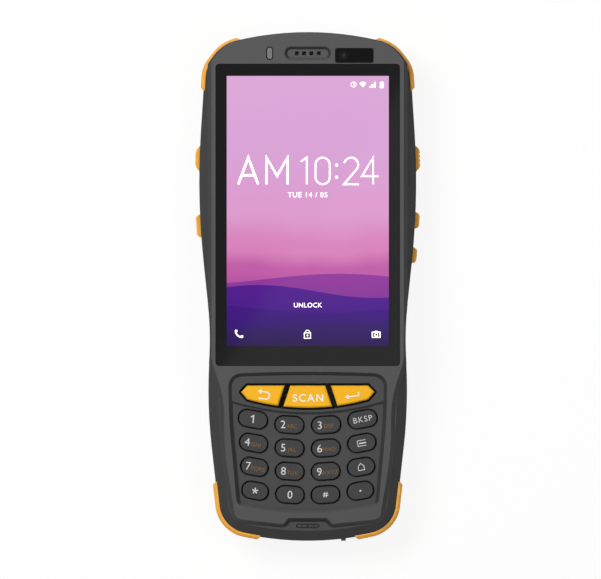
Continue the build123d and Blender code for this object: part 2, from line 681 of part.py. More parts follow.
# ---------------------------------------------------------------- front housing
def raised_deck():
    """Deck of the front housing down to the split, its foot sloping out to the flank."""
    with BuildPart(mode=Mode.PRIVATE) as plateau:
        prism(outline(DECK, DECK_STEP_RUN), Z_PART, Z_DECK)
        top = plateau.faces().sort_by(Axis.Z)[-1]
        chamfer(top.edges(), length=DECK_STEP_RUN, length2=DECK_STEP, reference=top)
    with BuildPart(mode=Mode.PRIVATE) as deck:
        prism(BODY_FACE, Z_PART, Z_DECK)
        chamfer(deck.edges().group_by(Axis.Z)[-1], TOP_EDGE)
        add(plateau.part, mode=Mode.INTERSECT)
    return deck.part


def front_shell():
    """Outer form of the front housing: deck, step, sloping flank and side wall, hollowed."""
    with BuildPart() as shell:
        prism(BODY_FACE, Z_PART, Z_CREASE)
        top = shell.faces().sort_by(Axis.Z)[-1]
        chamfer(top.edges(), length=FLANK_RUN, length2=FLANK_DROP, reference=top)
        add(raised_deck())
        prism(inner_outline(BODY, WALL), Z_PART, Z_SIDE_CEILING, mode=Mode.SUBTRACT)
        with BuildSketch(mode=Mode.PRIVATE) as ceiling:
            add(inner_outline(DECK, WALL))
            add(inner_outline(BODY, WALL), mode=Mode.INTERSECT)
        prism(ceiling.sketch, Z_SIDE_CEILING, Z_CEILING, mode=Mode.SUBTRACT)
    return shell.part


def front_blocks():
    """Inner blocks that carry the port and the scan window."""
    with BuildPart() as blocks:
        inside = inner_outline(BODY, WALL / 2)
        port = (-FLAP_HALF - 3.0, FLAP_HALF + 3.0)
        prism(clipped(inside, port, (-HALF_LENGTH, 3.2 - HALF_LENGTH)), Z_PART, Z_SIDE_CEILING)
        prism(clipped(inside, port, (-HALF_LENGTH, 5.5 - HALF_LENGTH)), Z_PART, Z_BOARD)
        scan = (-SCAN_WIDTH / 2 - 2.0, SCAN_WIDTH / 2 + 2.0)
        prism(clipped(inside, scan, (HALF_LENGTH - 4.0, HALF_LENGTH)), Z_PART, Z_SIDE_CEILING)
    return blocks.part


def cut_keypad():
    """Two-level keypad recess with sloping walls, and the key apertures through it."""
    floor = outline(RECESS, -FUNCTION_FIELD)
    prism(floor, Z_DECK - FUNCTION_FIELD, Z_DECK, taper=-45, mode=Mode.SUBTRACT)
    prism(below_step(floor), Z_DECK - NUMBER_FIELD, Z_DECK, mode=Mode.SUBTRACT)
    with BuildSketch(mode=Mode.PRIVATE) as apertures:
        add(function_band(FUNCTION_RING, Kind.ARC))
        for _, x, y, tilt, length in number_keys():
            add(pill(length + 2 * KEY_RING, KEY_WIDTH + 2 * KEY_RING, x, y, tilt))
    prism(apertures.sketch, Z_CEILING, Z_DECK, mode=Mode.SUBTRACT)


def cut_glass_seat():
    """Seat for the glass and the window over the display module."""
    seat = panel(GLASS_WIDTH + 2 * GLASS_GAP, GLASS_LENGTH + 2 * GLASS_GAP, GLASS_CORNER, Y_GLASS)
    prism(seat, Z_GLASS, Z_DECK, mode=Mode.SUBTRACT)
    prism(plate(GLASS_WIDTH - 2 * LEDGE, GLASS_LENGTH - 2 * LEDGE, Y_GLASS), Z_SIDE_CEILING, Z_GLASS,
          mode=Mode.SUBTRACT)


def ear_holes():
    """Places of the earpiece's four sound holes."""
    return [((index - 1.5) * EAR_PITCH, Y_FITTINGS) for index in range(4)]


def cut_head_fittings():
    """Earpiece recess with its sound holes, light pipe hole and sensor window seat."""
    floor = pill(EAR_LENGTH - 2 * EAR_DEPTH, EAR_WIDTH - 2 * EAR_DEPTH, 0, Y_FITTINGS)
    prism(floor, Z_DECK - EAR_DEPTH, Z_DECK, taper=-45, mode=Mode.SUBTRACT)
    for x, y in ear_holes():
        half = EAR_HOLE / 2
        block((x - half, x + half), (y - half, y + half), (Z_CEILING, Z_DECK), mode=Mode.SUBTRACT)
    prism(pill(LED_LENGTH, LED_WIDTH, LED_X, Y_FITTINGS, 90), Z_CEILING, Z_DECK, mode=Mode.SUBTRACT)
    prism(plate(SENSOR_WIDTH, SENSOR_HEIGHT, Y_SENSOR, SENSOR_X), Z_DECK - SENSOR_SEAT, Z_DECK,
          mode=Mode.SUBTRACT)
    prism(plate(SENSOR_WIDTH - 1.4, SENSOR_HEIGHT - 1.4, Y_SENSOR, SENSOR_X), Z_CEILING, Z_DECK,
          mode=Mode.SUBTRACT)


def cut_ends():
    """Flap pocket and port at the foot end, scan window seat at the head end, microphone slot."""
    with BuildSketch(mode=Mode.PRIVATE) as pocket:
        add(outline(BODY, 1.0))
        add(outline(BODY, -FLAP_THICKNESS - FLAP_GAP), mode=Mode.SUBTRACT)
    reach = FLAP_HALF + FLAP_GAP
    face = clipped(pocket.sketch, (-reach, reach), (-HALF_LENGTH - 3, 0))
    half = FLAP_HEIGHT / 2 + FLAP_GAP - 0.1
    prism(face, Z_PORT - half, Z_PORT + half, mode=Mode.SUBTRACT)
    rod([FLAP_HINGE], FLAP_BARREL + FLAP_GAP, Z_PORT - half, Z_PORT + half, mode=Mode.SUBTRACT)
    port = (USB_WIDTH / 2 + 0.05, USB_HEIGHT / 2 + 0.05)
    block((-port[0], port[0]), (-HALF_LENGTH, 6 - HALF_LENGTH), (Z_PORT - port[1], Z_PORT + port[1]),
          mode=Mode.SUBTRACT)
    seat = (Z_SCAN - SCAN_HEIGHT / 2, Z_SCAN + SCAN_HEIGHT / 2)
    block((-SCAN_WIDTH / 2, SCAN_WIDTH / 2), (HALF_LENGTH - SCAN_SINK - SCAN_GLASS, HALF_LENGTH + 1),
          seat, mode=Mode.SUBTRACT)
    block((1 - SCAN_WIDTH / 2, SCAN_WIDTH / 2 - 1), (HALF_LENGTH - 5, HALF_LENGTH),
          (seat[0] + 0.8, seat[1] - 0.8), mode=Mode.SUBTRACT)
    prism(pill(MIC_LENGTH, MIC_WIDTH, 0, Y_MIC), Z_CREASE - 0.5, Z_DECK, mode=Mode.SUBTRACT)
    prism(plate(1.0, 1.0, Y_MIC), Z_SIDE_CEILING - 1, Z_CREASE, mode=Mode.SUBTRACT)


def foot_y(x, inset=0.0):
    """Place along the body of the foot end's curved face, or of a curve inside it, at a place across."""
    probe = Edge.make_line((x, 0), (x, -2 * HALF_LENGTH))
    return min(hit.Y for edge in outline(BODY, -inset).edges() for hit in edge.intersect(probe) or [])


FLAP_HINGE = (FLAP_BARREL - FLAP_HALF, foot_y(FLAP_BARREL - FLAP_HALF, FLAP_BARREL))


def make_front_housing():
    """Front housing: the body's face and side walls."""
    with BuildPart() as housing:
        add(front_shell())
        add(front_blocks())
        cut_keypad()
        cut_glass_seat()
        cut_head_fittings()
        cut_ends()
        cut_side_apertures()
        cut_bumper_seats()
    keep(housing, "front_housing")


# ---------------------------------------------------------------- rear housing
def cover_outline(grow=0.0):
    """Plan of the battery cover: square at its hinge end, rounded at its foot end."""
    with BuildSketch() as face:
        with Locations((0, (COVER_TOP + COVER_LOW) / 2)):
            Rectangle(2 * (COVER_HALF + grow), COVER_TOP - COVER_LOW + 2 * grow)
        fillet(face.vertices().group_by(Axis.Y)[0], COVER_CORNER + grow)
    return face.sketch


def bay_outline(grow=0.0):
    """Plan of the battery bay, grown by an offset."""
    gap = 2 * (BATTERY_GAP + grow)
    return plate(BATTERY_WIDTH + gap, BATTERY_LENGTH + gap, BATTERY_Y)


def cut_hinge_pockets():
    """Channel along the cover's hinge end, and the pockets that its tabs reach into."""
    half = COVER_HALF + COVER_GAP
    start = COVER_HINGE[0] - HINGE_ROOM
    block((-half, half), (start, COVER_TOP + COVER_GAP), (Z_LIP - COVER_GAP, COVER_HINGE[1] + HINGE_ROOM),
          mode=Mode.SUBTRACT)
    for x in (-TAB_X, TAB_X):
        block((x - TAB_WIDTH / 2 - COVER_GAP, x + TAB_WIDTH / 2 + COVER_GAP),
              (start, COVER_TOP + TAB_REACH + COVER_GAP), (COVER_HINGE[1], Z_PART), mode=Mode.SUBTRACT)


def rear_shell():
    """Shallow tray with a bevelled back edge."""
    with BuildPart() as shell:
        prism(BODY_FACE, 0, Z_PART)
        chamfer(shell.edges().group_by(Axis.Z)[0], BACK_BEVEL)
        prism(inner_outline(BODY, BACK_BEVEL + 1.2), FLOOR, Z_PART, mode=Mode.SUBTRACT)
        prism(inner_outline(BODY, WALL), BACK_BEVEL + 1.2, Z_PART, mode=Mode.SUBTRACT)
    return shell.part


def board_posts():
    """Posts on the battery bay's roof and beside it, under the main board."""
    reach = BATTERY_LENGTH / 3
    return both_sides(BATTERY_WIDTH / 3, BATTERY_Y + reach) + both_sides(BATTERY_WIDTH / 3, BATTERY_Y - reach)


def make_rear_housing():
    """Rear housing: the back, the battery bay, the posts and the openings in the back."""
    screws = both_sides(COVER_SCREW_X, COVER_SCREW_Y)
    with BuildPart() as housing:
        add(rear_shell())
        prism(plate(2 * (COVER_HALF + COVER_GAP + 1.3), COVER_TOP - COVER_LOW + 2 * COVER_GAP + 2.6,
                    (COVER_TOP + COVER_LOW) / 2), FLOOR / 2, Z_LIP + LIP_THICKNESS)
        prism(bay_outline(BAY_WALL), FLOOR / 2, Z_BAY_TOP)
        for x, y in board_posts():
            block((x - 1.6, x + 1.6), (y - 1.6, y + 1.6), (Z_BAY_TOP - BAY_ROOF / 2, Z_BOARD))
        for x, y in screws:
            block((x - 2.6, x + 2.6), (y - 2.6, y + 2.6), (Z_LIP, Z_PART))
        for x in (-ENGINE_WIDTH / 2 + 1.5, ENGINE_WIDTH / 2 - 1.5):
            block((x - 0.75, x + 0.75), (HALF_LENGTH - 4 - ENGINE_LENGTH, HALF_LENGTH - 5),
                  (FLOOR / 2, Z_ENGINE))
        prism(cover_outline(COVER_GAP), 0, Z_LIP, mode=Mode.SUBTRACT)
        prism(bay_outline(), 0, Z_BAY_CEILING, mode=Mode.SUBTRACT)
        cut_hinge_pockets()
        rod(screws, COVER_SCREW_SHAFT + SCREW_CLEAR, 0, Z_PART - 0.5, mode=Mode.SUBTRACT)
        cut_back_openings()
        cut_bumper_seats()
    keep(housing, "rear_housing")


def speaker_slots():
    """Face of the five sound slots in the back."""
    with BuildSketch() as slots:
        with Locations(SPEAKER):
            with GridLocations(0, SLOT_PITCH, 1, SLOTS):
                Rectangle(SLOT_LENGTH, SLOT_WIDTH)
    return slots.sketch


def back_window(grow=0.0):
    """Face of the window over the rear camera, grown by an offset."""
    with BuildSketch() as face:
        with Locations(BACK_WINDOW):
            Rectangle(BACK_WINDOW_WIDTH + 2 * grow, BACK_WINDOW_LENGTH + 2 * grow)
        chamfer(face.vertices(), BACK_WINDOW_EDGE)
    return face.sketch


def cut_back_openings():
    """Openings for the rear camera's window and the speaker."""
    prism(back_window(0.05), 0, BACK_WINDOW_SEAT, mode=Mode.SUBTRACT)
    prism(back_window(-BACK_WINDOW_RIM), 0, FLOOR, mode=Mode.SUBTRACT)
    prism(speaker_slots(), 0, FLOOR, mode=Mode.SUBTRACT)


def make_battery_cover():
    """Battery cover: a plate with a bevelled edge, a hinge bead with tabs, and bosses for its screws."""
    with BuildPart() as cover:
        prism(cover_outline(), 0, COVER_THICKNESS)
        chamfer(cover.edges().group_by(Axis.Z)[0], COVER_EDGE)
        bead = Plane(origin=(0, *COVER_HINGE), z_dir=(1, 0, 0))
        with Locations(bead):
            Cylinder(HINGE_BEAD, 2 * (COVER_HALF - HINGE_BEAD))
        for x in (-TAB_X, TAB_X):
            block((x - TAB_WIDTH / 2, x + TAB_WIDTH / 2), (COVER_HINGE[0], COVER_TOP + TAB_REACH),
                  (COVER_HINGE[1] + 0.05, COVER_HINGE[1] + 0.05 + TAB_THICKNESS))
        screws = both_sides(COVER_SCREW_X, COVER_SCREW_Y)
        for x, y in screws:
            block((x - 2.8, x + 2.8), (y - 2.8, y + 2.8), (COVER_THICKNESS / 2, Z_LIP - 0.05))
        rod(screws, COVER_SCREW_HEAD + SCREW_CLEAR, 0, COVER_SCREW_SEAT, mode=Mode.SUBTRACT)
        rod(screws, COVER_SCREW_SHAFT + SCREW_CLEAR, 0, Z_LIP, mode=Mode.SUBTRACT)
    keep(cover, "battery_cover")


def make_cover_screw(name, side):
    """Captive cover screw with a coin slot in its head."""
    x = side * COVER_SCREW_X
    with BuildPart() as screw:
        rod([(x, COVER_SCREW_Y)], COVER_SCREW_HEAD, 0.1, COVER_SCREW_SEAT - 0.05)
        rod([(x, COVER_SCREW_Y)], COVER_SCREW_SHAFT, 0.1, Z_PART - 0.8)
        block((x - COVER_SCREW_HEAD, x + COVER_SCREW_HEAD), (COVER_SCREW_Y - 0.4, COVER_SCREW_Y + 0.4),
              (0.1, 0.6), mode=Mode.SUBTRACT)
    keep(screw, name)


# ---------------------------------------------------------------- display
def make_touch_glass():
    """Touch glass: one flat plate with small corner radii."""
    with BuildPart() as glass:
        prism(panel(GLASS_WIDTH, GLASS_LENGTH, GLASS_CORNER - GLASS_GAP, Y_GLASS), Z_GLASS, Z_GLASS_TOP)
    keep(glass, "touch_glass")


def make_display_module():
    """Display module under the glass, between the ledges of the front housing."""
    gap = 2 * (LEDGE + LCD_GAP)
    with BuildPart() as module:
        prism(plate(GLASS_WIDTH - gap, GLASS_LENGTH - gap, Y_GLASS), Z_LCD, Z_GLASS)
    keep(module, "display_module")


def make_display_tray():
    """Pressed metal tray that carries the display module, with a rim up to the housing."""
    width = 2 * (DECK_HALF - WALL - TRAY_GAP)
    length = GLASS_LENGTH - 1.0
    with BuildPart() as tray:
        prism(plate(width, length, Y_GLASS), Z_TRAY, Z_CEILING)
        prism(plate(width - 2 * TRAY_RIM, length - 2 * TRAY_RIM, Y_GLASS), Z_LCD, Z_CEILING,
              mode=Mode.SUBTRACT)
    keep(tray, "display_tray")


# ---------------------------------------------------------------- keypad
def press_blocks(places, half, low, high, mode=Mode.ADD):
    """Square block at each place where a key presses."""
    for x, y in places:
        block((x - half, x + half), (y - half, y + half), (low, high), mode=mode)


def make_number_key(name, x, y, tilt, length):
    """Number key: slot-shaped cap, flange under the housing, plunger."""
    ring = 2 * (KEY_RING + FLANGE_REACH)
    with BuildPart() as key:
        prism(pill(length, KEY_WIDTH, x, y, tilt), Z_FLANGE, Z_KEY_TOP)
        prism(plate(length + KEY_RING, KEY_WIDTH + ring, y, x, tilt), Z_FLANGE, Z_FLANGE_TOP)
        press_blocks([(x, y)], PLUNGER_HALF, Z_PLUNGER, Z_FLANGE)
    keep(key, name)


def make_function_key(name, side, plunger):
    """Function key: a wide cap whose lower edge follows the row's arc."""
    with BuildPart() as key:
        prism(function_face(side), Z_FLANGE, Z_DECK - FUNCTION_SINK)
        chamfer(key.edges().group_by(Axis.Z)[-1], KEY_EDGE)
        flange = FUNCTION_RING + FLANGE_REACH
        prism(function_face(side, flange, FUNCTION_GAP / 3), Z_FLANGE, Z_FLANGE_TOP)
        press_blocks([plunger], PLUNGER_HALF, Z_PLUNGER, Z_FLANGE)
    keep(key, name)


def plunger_places():
    """Where every key presses."""
    return [(x, y) for _, x, y, _, _ in number_keys()] + [place for _, _, place in function_keys()]


def make_keypad_mat():
    """Rubber mat under the keys: a rim clamped below the housing, and a sheet pierced by plungers."""
    inside = inner_outline(RECESS, MAT_INSET + MAT_RIM)
    sheet = Z_PLUNGER + DOME_GAP + KEY_TRAVEL
    with BuildPart() as mat:
        prism(inner_outline(RECESS, MAT_INSET), Z_KEY_BOARD, Z_CEILING)
        prism(inside, sheet + MAT_THICKNESS, Z_CEILING, mode=Mode.SUBTRACT)
        prism(inside, Z_KEY_BOARD, sheet, mode=Mode.SUBTRACT)
        press_blocks(plunger_places(), PLUNGER_HALF + 0.4, sheet - 0.1, Z_CEILING, mode=Mode.SUBTRACT)
    keep(mat, "keypad_mat")


def make_keypad_board():
    """Keypad board, resting on the main board."""
    with BuildPart() as board:
        prism(inner_outline(RECESS, MAT_RIM), Z_BOARD_TOP, Z_KEY_BOARD)
    keep(board, "keypad_board")


def make_snap_domes():
    """Metal snap plates on the keypad board, one under each plunger."""
    with BuildPart() as domes:
        press_blocks(plunger_places(), DOME_HALF, Z_KEY_BOARD, Z_DOME)
    keep(domes, "snap_domes")


# ---------------------------------------------------------------- boards and fittings
def make_main_board():
    """Main board."""
    with BuildPart() as board:
        prism(clipped(inner_outline(BODY, BOARD_INSET), (-BOARD_HALF, BOARD_HALF),
                      (BOARD_FOOT - HALF_LENGTH, HALF_LENGTH - BOARD_HEAD)), Z_BOARD, Z_BOARD_TOP)
    keep(board, "main_board")


def make_shield_cans():
    """Shielding cans over the main board's circuits."""
    with BuildPart() as cans:
        for y, width, length in SHIELDS:
            prism(plate(width, length, y), Z_BOARD_TOP, Z_BOARD_TOP + SHIELD_HEIGHT)
            prism(plate(width - 2 * SHIELD_SHEET, length - 2 * SHIELD_SHEET, y), Z_BOARD_TOP,
                  Z_BOARD_TOP + SHIELD_HEIGHT - SHIELD_SHEET, mode=Mode.SUBTRACT)
    keep(cans, "shield_cans")


def make_battery():
    """Battery pack with blunted upright edges."""
    with BuildPart() as pack:
        prism(plate(BATTERY_WIDTH, BATTERY_LENGTH, BATTERY_Y), Z_BATTERY, Z_BATTERY + BATTERY_THICKNESS)
        chamfer(pack.edges().filter_by(Axis.Z), 0.8)
    keep(pack, "battery_pack")


def make_cover_seal():
    """Seal between the battery cover and the lip of the bay."""
    with BuildPart() as seal:
        prism(bay_outline(0.4 + SEAL_WIDTH), COVER_THICKNESS, Z_LIP)
        prism(bay_outline(0.4), COVER_THICKNESS, Z_LIP, mode=Mode.SUBTRACT)
    keep(seal, "cover_seal")


def make_head_fittings():
    """Receiver, light pipe, sensor window and front camera at the head end of the deck."""
    with BuildPart() as receiver:
        prism(plate(13.0, 5.0, Y_FITTINGS), Z_CEILING - 2.2, Z_CEILING)
    keep(receiver, "receiver")
    with BuildPart() as pipe:
        prism(pill(LED_LENGTH - 2 * LED_GAP, LED_WIDTH - 2 * LED_GAP, LED_X, Y_FITTINGS, 90),
              Z_CEILING - 0.6, Z_DECK - 0.05)
    keep(pipe, "light_pipe")
    with BuildPart() as window:
        prism(plate(SENSOR_WIDTH - 0.1, SENSOR_HEIGHT - 0.1, Y_SENSOR, SENSOR_X), Z_DECK - SENSOR_SEAT,
              Z_DECK - 0.05)
    keep(window, "sensor_window")
    with BuildPart() as camera:
        block((CAMERA_X - 2.9, CAMERA_X + 2.9), (Y_SENSOR - 2.9, Y_SENSOR + 2.9),
              (Z_CEILING - 3.8, Z_CEILING))
        rod([(CAMERA_X, Y_SENSOR)], 1.5, Z_CEILING, Z_DECK - SENSOR_SEAT - 0.2)
    keep(camera, "front_camera")


def make_scanner():
    """Scan window in the head end and the scan engine behind it."""
    with BuildPart() as window:
        inner = HALF_LENGTH - SCAN_SINK - SCAN_GLASS
        block((0.05 - SCAN_WIDTH / 2, SCAN_WIDTH / 2 - 0.05), (inner, inner + SCAN_GLASS),
              (Z_SCAN - SCAN_HEIGHT / 2 + 0.05, Z_SCAN + SCAN_HEIGHT / 2 - 0.05))
    keep(window, "scan_window")
    with BuildPart() as engine:
        rear = HALF_LENGTH - 4.3 - ENGINE_LENGTH
        block((-ENGINE_WIDTH / 2, ENGINE_WIDTH / 2), (rear, rear + ENGINE_LENGTH),
              (Z_ENGINE, Z_ENGINE + ENGINE_HEIGHT))
        block((-8.0, -1.0), (rear + ENGINE_LENGTH - 1.2, rear + ENGINE_LENGTH),
              (Z_SCAN - 2.0, Z_SCAN + 2.0), mode=Mode.SUBTRACT)
    keep(engine, "scan_engine")


def make_back_fittings():
    """Rear camera and flash behind their window, and the speaker."""
    x, y = BACK_WINDOW
    with BuildPart() as window:
        prism(back_window(), 0.1, BACK_WINDOW_SEAT)
    keep(window, "rear_camera_window")
    with BuildPart() as camera:
        lens = x + CAMERA_OFFSET
        block((lens - 4.5, lens + 4.5), (y - 4.5, y + 4.5), (FLOOR, FLOOR + 4.2))
        rod([(lens, y)], 2.5, BACK_WINDOW_SEAT + 0.1, FLOOR)
    keep(camera, "rear_camera")
    with BuildPart() as flash:
        lamp = x + FLASH_OFFSET
        block((lamp - 2.0, lamp + 2.0), (y - 4.5, y + 4.5), (FLOOR, FLOOR + 1.0))
        block((lamp - 1.6, lamp + 1.6), (y - 1.6, y + 1.6), (BACK_WINDOW_SEAT + 0.1, FLOOR))
    keep(flash, "flash_lens")
    with BuildPart() as speaker:
        prism(plate(SPEAKER_WIDTH, SPEAKER_LENGTH, SPEAKER[1], SPEAKER[0]), FLOOR, FLOOR + SPEAKER_DEPTH)
    keep(speaker, "speaker")


def make_port():
    """USB connector under the main board, and the rubber flap that closes it."""
    mouth = FLAP_THICKNESS + FLAP_GAP - HALF_LENGTH
    with BuildPart() as connector:
        block((-USB_WIDTH / 2, USB_WIDTH / 2), (mouth, mouth + USB_DEPTH),
              (Z_PORT - USB_HEIGHT / 2, Z_PORT + USB_HEIGHT / 2))
        with BuildSketch(Plane(origin=(0, mouth, Z_PORT), x_dir=(1, 0, 0), z_dir=(0, -1, 0))) as hole:
            SlotOverall(USB_WIDTH - 0.6, USB_HEIGHT - 0.6)
        extrude(hole.sketch, amount=-USB_DEPTH + 1, mode=Mode.SUBTRACT)
        block((-3.3, 3.3), (mouth + 2.8, mouth + USB_DEPTH - 0.5), (Z_PORT - 0.35, Z_PORT + 0.35))
    keep(connector, "usb_connector")
    with BuildSketch(mode=Mode.PRIVATE) as band:
        add(BODY_FACE)
        add(outline(BODY, -FLAP_THICKNESS), mode=Mode.SUBTRACT)
    half = FLAP_HEIGHT / 2
    with BuildPart() as flap:
        prism(clipped(band.sketch, (FLAP_HINGE[0], FLAP_HALF), (-HALF_LENGTH - 3, 0)),
              Z_PORT - half, Z_PORT + half)
        rod([FLAP_HINGE], FLAP_BARREL, Z_PORT - half, Z_PORT + half)
        tab = (FLAP_HALF - FLAP_TAB_WIDTH, FLAP_HALF)
        foot = foot_y(sum(tab) / 2)
        block(tab, (foot - FLAP_TAB_STAND, foot + FLAP_THICKNESS / 2),
              (Z_PORT - FLAP_TAB_HEIGHT / 2, Z_PORT + FLAP_TAB_HEIGHT / 2))
        depth = (FLAP_THICKNESS - HALF_LENGTH - 0.5, FLAP_THICKNESS - HALF_LENGTH + PLUG_DEPTH)
        block((-USB_WIDTH / 2 + 0.9, USB_WIDTH / 2 - 0.9), depth, (Z_PORT - 0.9, Z_PORT + 0.9))
        block((-USB_WIDTH / 2 + 1.6, USB_WIDTH / 2 - 1.6), depth, (Z_PORT - 0.5, Z_PORT + 0.5),
              mode=Mode.SUBTRACT)
    keep(flap, "usb_flap")


def make_microphone():
    """Microphone under the slot in the foot end's notch."""
    with BuildPart() as microphone:
        block((-1.9, 1.9), (Y_MIC - 1.3, Y_MIC + 1.3), (Z_SIDE_CEILING - 1.2, Z_SIDE_CEILING))
    keep(microphone, "microphone")


def make_battery_contacts():
    """Spring contacts between the bay's head wall and the main board."""
    y = BATTERY_Y + BATTERY_LENGTH / 2 + BATTERY_GAP + BAY_WALL + 1.0
    with BuildPart() as contacts:
        for index in range(4):
            x = (index - 1.5) * 3.0
            block((x - 0.6, x + 0.6), (y, y + 2.0), (Z_BOARD - 4.0, Z_BOARD))
    keep(contacts, "battery_contacts")


# ---------------------------------------------------------------- the whole terminal
os.makedirs("parts", exist_ok=True)
make_front_housing()
make_rear_housing()
make_battery_cover()
make_cover_screw("cover_screw_left", -1)
make_cover_screw("cover_screw_right", 1)
make_cover_seal()
make_bumper("bumper_head_left", HEAD_SECTOR, -1)
make_bumper("bumper_head_right", HEAD_SECTOR, 1)
make_bumper("bumper_foot_left", FOOT_SECTOR, -1)
make_bumper("bumper_foot_right", FOOT_SECTOR, 1)
make_touch_glass()
make_display_module()
make_display_tray()
for number_key in number_keys():
    make_number_key(*number_key)
for function_key in function_keys():
    make_function_key(*function_key)
for side_key in SIDE_KEYS:
    make_side_key(*side_key)
make_side_switches()
make_keypad_mat()
make_keypad_board()
make_snap_domes()
make_main_board()
make_shield_cans()
make_battery()
make_battery_contacts()
make_head_fittings()
make_scanner()
make_back_fittings()
make_port()
make_microphone()
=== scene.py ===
from math import cos, pi, radians, sin

import bmesh
import bpy
from mathutils import Matrix, Vector


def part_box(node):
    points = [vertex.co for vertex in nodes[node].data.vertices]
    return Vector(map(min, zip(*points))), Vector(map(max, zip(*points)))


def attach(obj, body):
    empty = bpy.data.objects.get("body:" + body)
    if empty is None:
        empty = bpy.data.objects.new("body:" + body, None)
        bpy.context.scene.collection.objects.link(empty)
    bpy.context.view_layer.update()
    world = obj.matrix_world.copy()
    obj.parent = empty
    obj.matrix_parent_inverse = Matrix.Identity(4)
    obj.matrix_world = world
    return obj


# A portable barcode data terminal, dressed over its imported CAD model.
# Sizes are written in millimetres and turned into metres by MM; +Z is out of the terminal's face.
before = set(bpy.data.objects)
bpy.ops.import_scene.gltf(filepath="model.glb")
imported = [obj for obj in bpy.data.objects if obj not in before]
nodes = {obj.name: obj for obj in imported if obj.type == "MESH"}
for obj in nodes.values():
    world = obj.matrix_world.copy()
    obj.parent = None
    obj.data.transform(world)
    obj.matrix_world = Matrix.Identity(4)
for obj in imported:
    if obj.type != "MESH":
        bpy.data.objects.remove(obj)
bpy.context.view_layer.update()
MM = 0.001

Z_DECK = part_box("front_housing")[1].z / MM
Z_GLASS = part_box("touch_glass")[1].z / MM
Z_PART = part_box("rear_housing")[1].z / MM
Z_NUMBER_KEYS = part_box("key_5")[1].z / MM
Z_FUNCTION_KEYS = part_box("key_scan")[1].z / MM
PRINT = 0.02                  # thickness of a printed legend; the display's layers are half as thick
LAYER_STEP = 0.12             # share by which each next layer of one printed piece is thicker


def centre(name):
    """Middle of a CAD node seen from the front, in mm."""
    low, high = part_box(name)
    return ((low.x + high.x) / 2 / MM, (low.y + high.y) / 2 / MM)


# ---------------------------------------------------------------- node trees
class Graph:
    """Node tree of a material or a world, built one node at a time."""

    def __init__(self, owner):
        owner.use_nodes = True
        self.owner = owner
        self.tree = owner.node_tree
        self.tree.nodes.clear()

    def node(self, kind, inputs=None, **settings):
        """Adds a node; each input is a value, or the socket that feeds it."""
        made = self.tree.nodes.new(kind)
        for key, value in settings.items():
            setattr(made, key, value)
        for key, value in (inputs or {}).items():
            if isinstance(value, bpy.types.NodeSocket):
                self.tree.links.new(value, made.inputs[key])
            else:
                made.inputs[key].default_value = value
        return made

    def math(self, operation, a, b=0.0, third=0.0, clamp=False):
        """One sum; third is only used by COMPARE, as its tolerance."""
        made = self.node("ShaderNodeMath", {0: a, 1: b, 2: third}, operation=operation, use_clamp=clamp)
        return made.outputs[0]

    def mix(self, factor, a, b, blend="MIX"):
        """Mix of two colours."""
        made = self.node("ShaderNodeMix", {0: factor, 6: a, 7: b}, data_type="RGBA", blend_type=blend)
        return made.outputs[2]

    def between(self, factor, a, b):
        """Mix of two plain values."""
        return self.node("ShaderNodeMix", {"Factor": factor, "A": a, "B": b}).outputs["Result"]

    def split(self, vector):
        """X, Y and Z of a vector."""
        return self.node("ShaderNodeSeparateXYZ", {0: vector}).outputs

    def spread(self, value, low, high, to_low=0.0, to_high=1.0):
        """Value moved from one range into another, held at its ends."""
        made = self.node("ShaderNodeMapRange", {"Value": value, "From Min": low, "From Max": high,
                                                "To Min": to_low, "To Max": to_high})
        return made.outputs[0]

    def noise(self, where, size, detail=3.0, rough=0.55):
        """Noise whose lumps are about size millimetres across."""
        return self.node("ShaderNodeTexNoise", {"Vector": where, "Scale": 1 / (size * MM),
                                                "Detail": detail, "Roughness": rough}).outputs["Fac"]

    def end(self, shader):
        """Closes a material's tree and gives the material."""
        self.node("ShaderNodeOutputMaterial", {"Surface": shader})
        return self.owner


# ---------------------------------------------------------------- camera and light
ROOM_LIGHT = 0.22             # strength of the even light from all round
CEILING = 0.12                # strength of the backdrop overhead, as reflections see it
FLOOR_HALF = 2000             # half the floor's side
FLOOR_DROP = 0.05             # the floor lies this far under the terminal's back
FLOOR_SHARE = 0.86            # share of the floor's glow in what the camera sees of it
FLOOR_GLOW = 1.03             # strength of that glow
CARD_TURN = -0.5675           # turn of the lamp that stands for a reflector card, in radians


def make_camera():
    """Long lens straight above the face: the picture is 193.95 mm wide at the deck."""
    lens, sensor, wide = 500.0, 36.0, 193.95
    x, y = -2.34, -0.77
    data = bpy.data.cameras.new("camera")
    data.lens = lens
    data.sensor_width = sensor
    data.clip_start, data.clip_end = 50 * MM, 50000 * MM
    camera = bpy.data.objects.new("camera", data)
    bpy.context.scene.collection.objects.link(camera)
    camera.location = (x * MM, y * MM, (Z_DECK + wide * lens / sensor) * MM)
    bpy.context.scene.camera = camera


def lamp(name, place, size, power, target=(0, 0, 0), length=None):
    """Soft rectangular lamp at a place, shining at a target."""
    data = bpy.data.lights.new(name, "AREA")
    data.shape = "RECTANGLE"
    data.size = size * MM
    data.size_y = (length or size) * MM
    data.energy = power
    light = bpy.data.objects.new(name, data)
    bpy.context.scene.collection.objects.link(light)
    light.location = [c * MM for c in place]
    direction = Vector(target) - Vector(place)
    light.rotation_euler = direction.to_track_quat("-Z", "Y").to_euler()
    return light


def make_lamps():
    """Key light from the upper left, a weaker fill from the right, and a faint lamp that stands for a
    reflector card, whose slanting edge shows in the glass."""
    lamp("key", place=(-420, 340, 790), size=420, power=6.3)
    lamp("fill", place=(380, -60, 860), size=380, power=1.6)
    card = lamp("card", place=(130.7, -52.6, 693), size=300, power=0.2, target=(130.7, -52.6, 0),
                length=500)
    card.rotation_euler.z = CARD_TURN


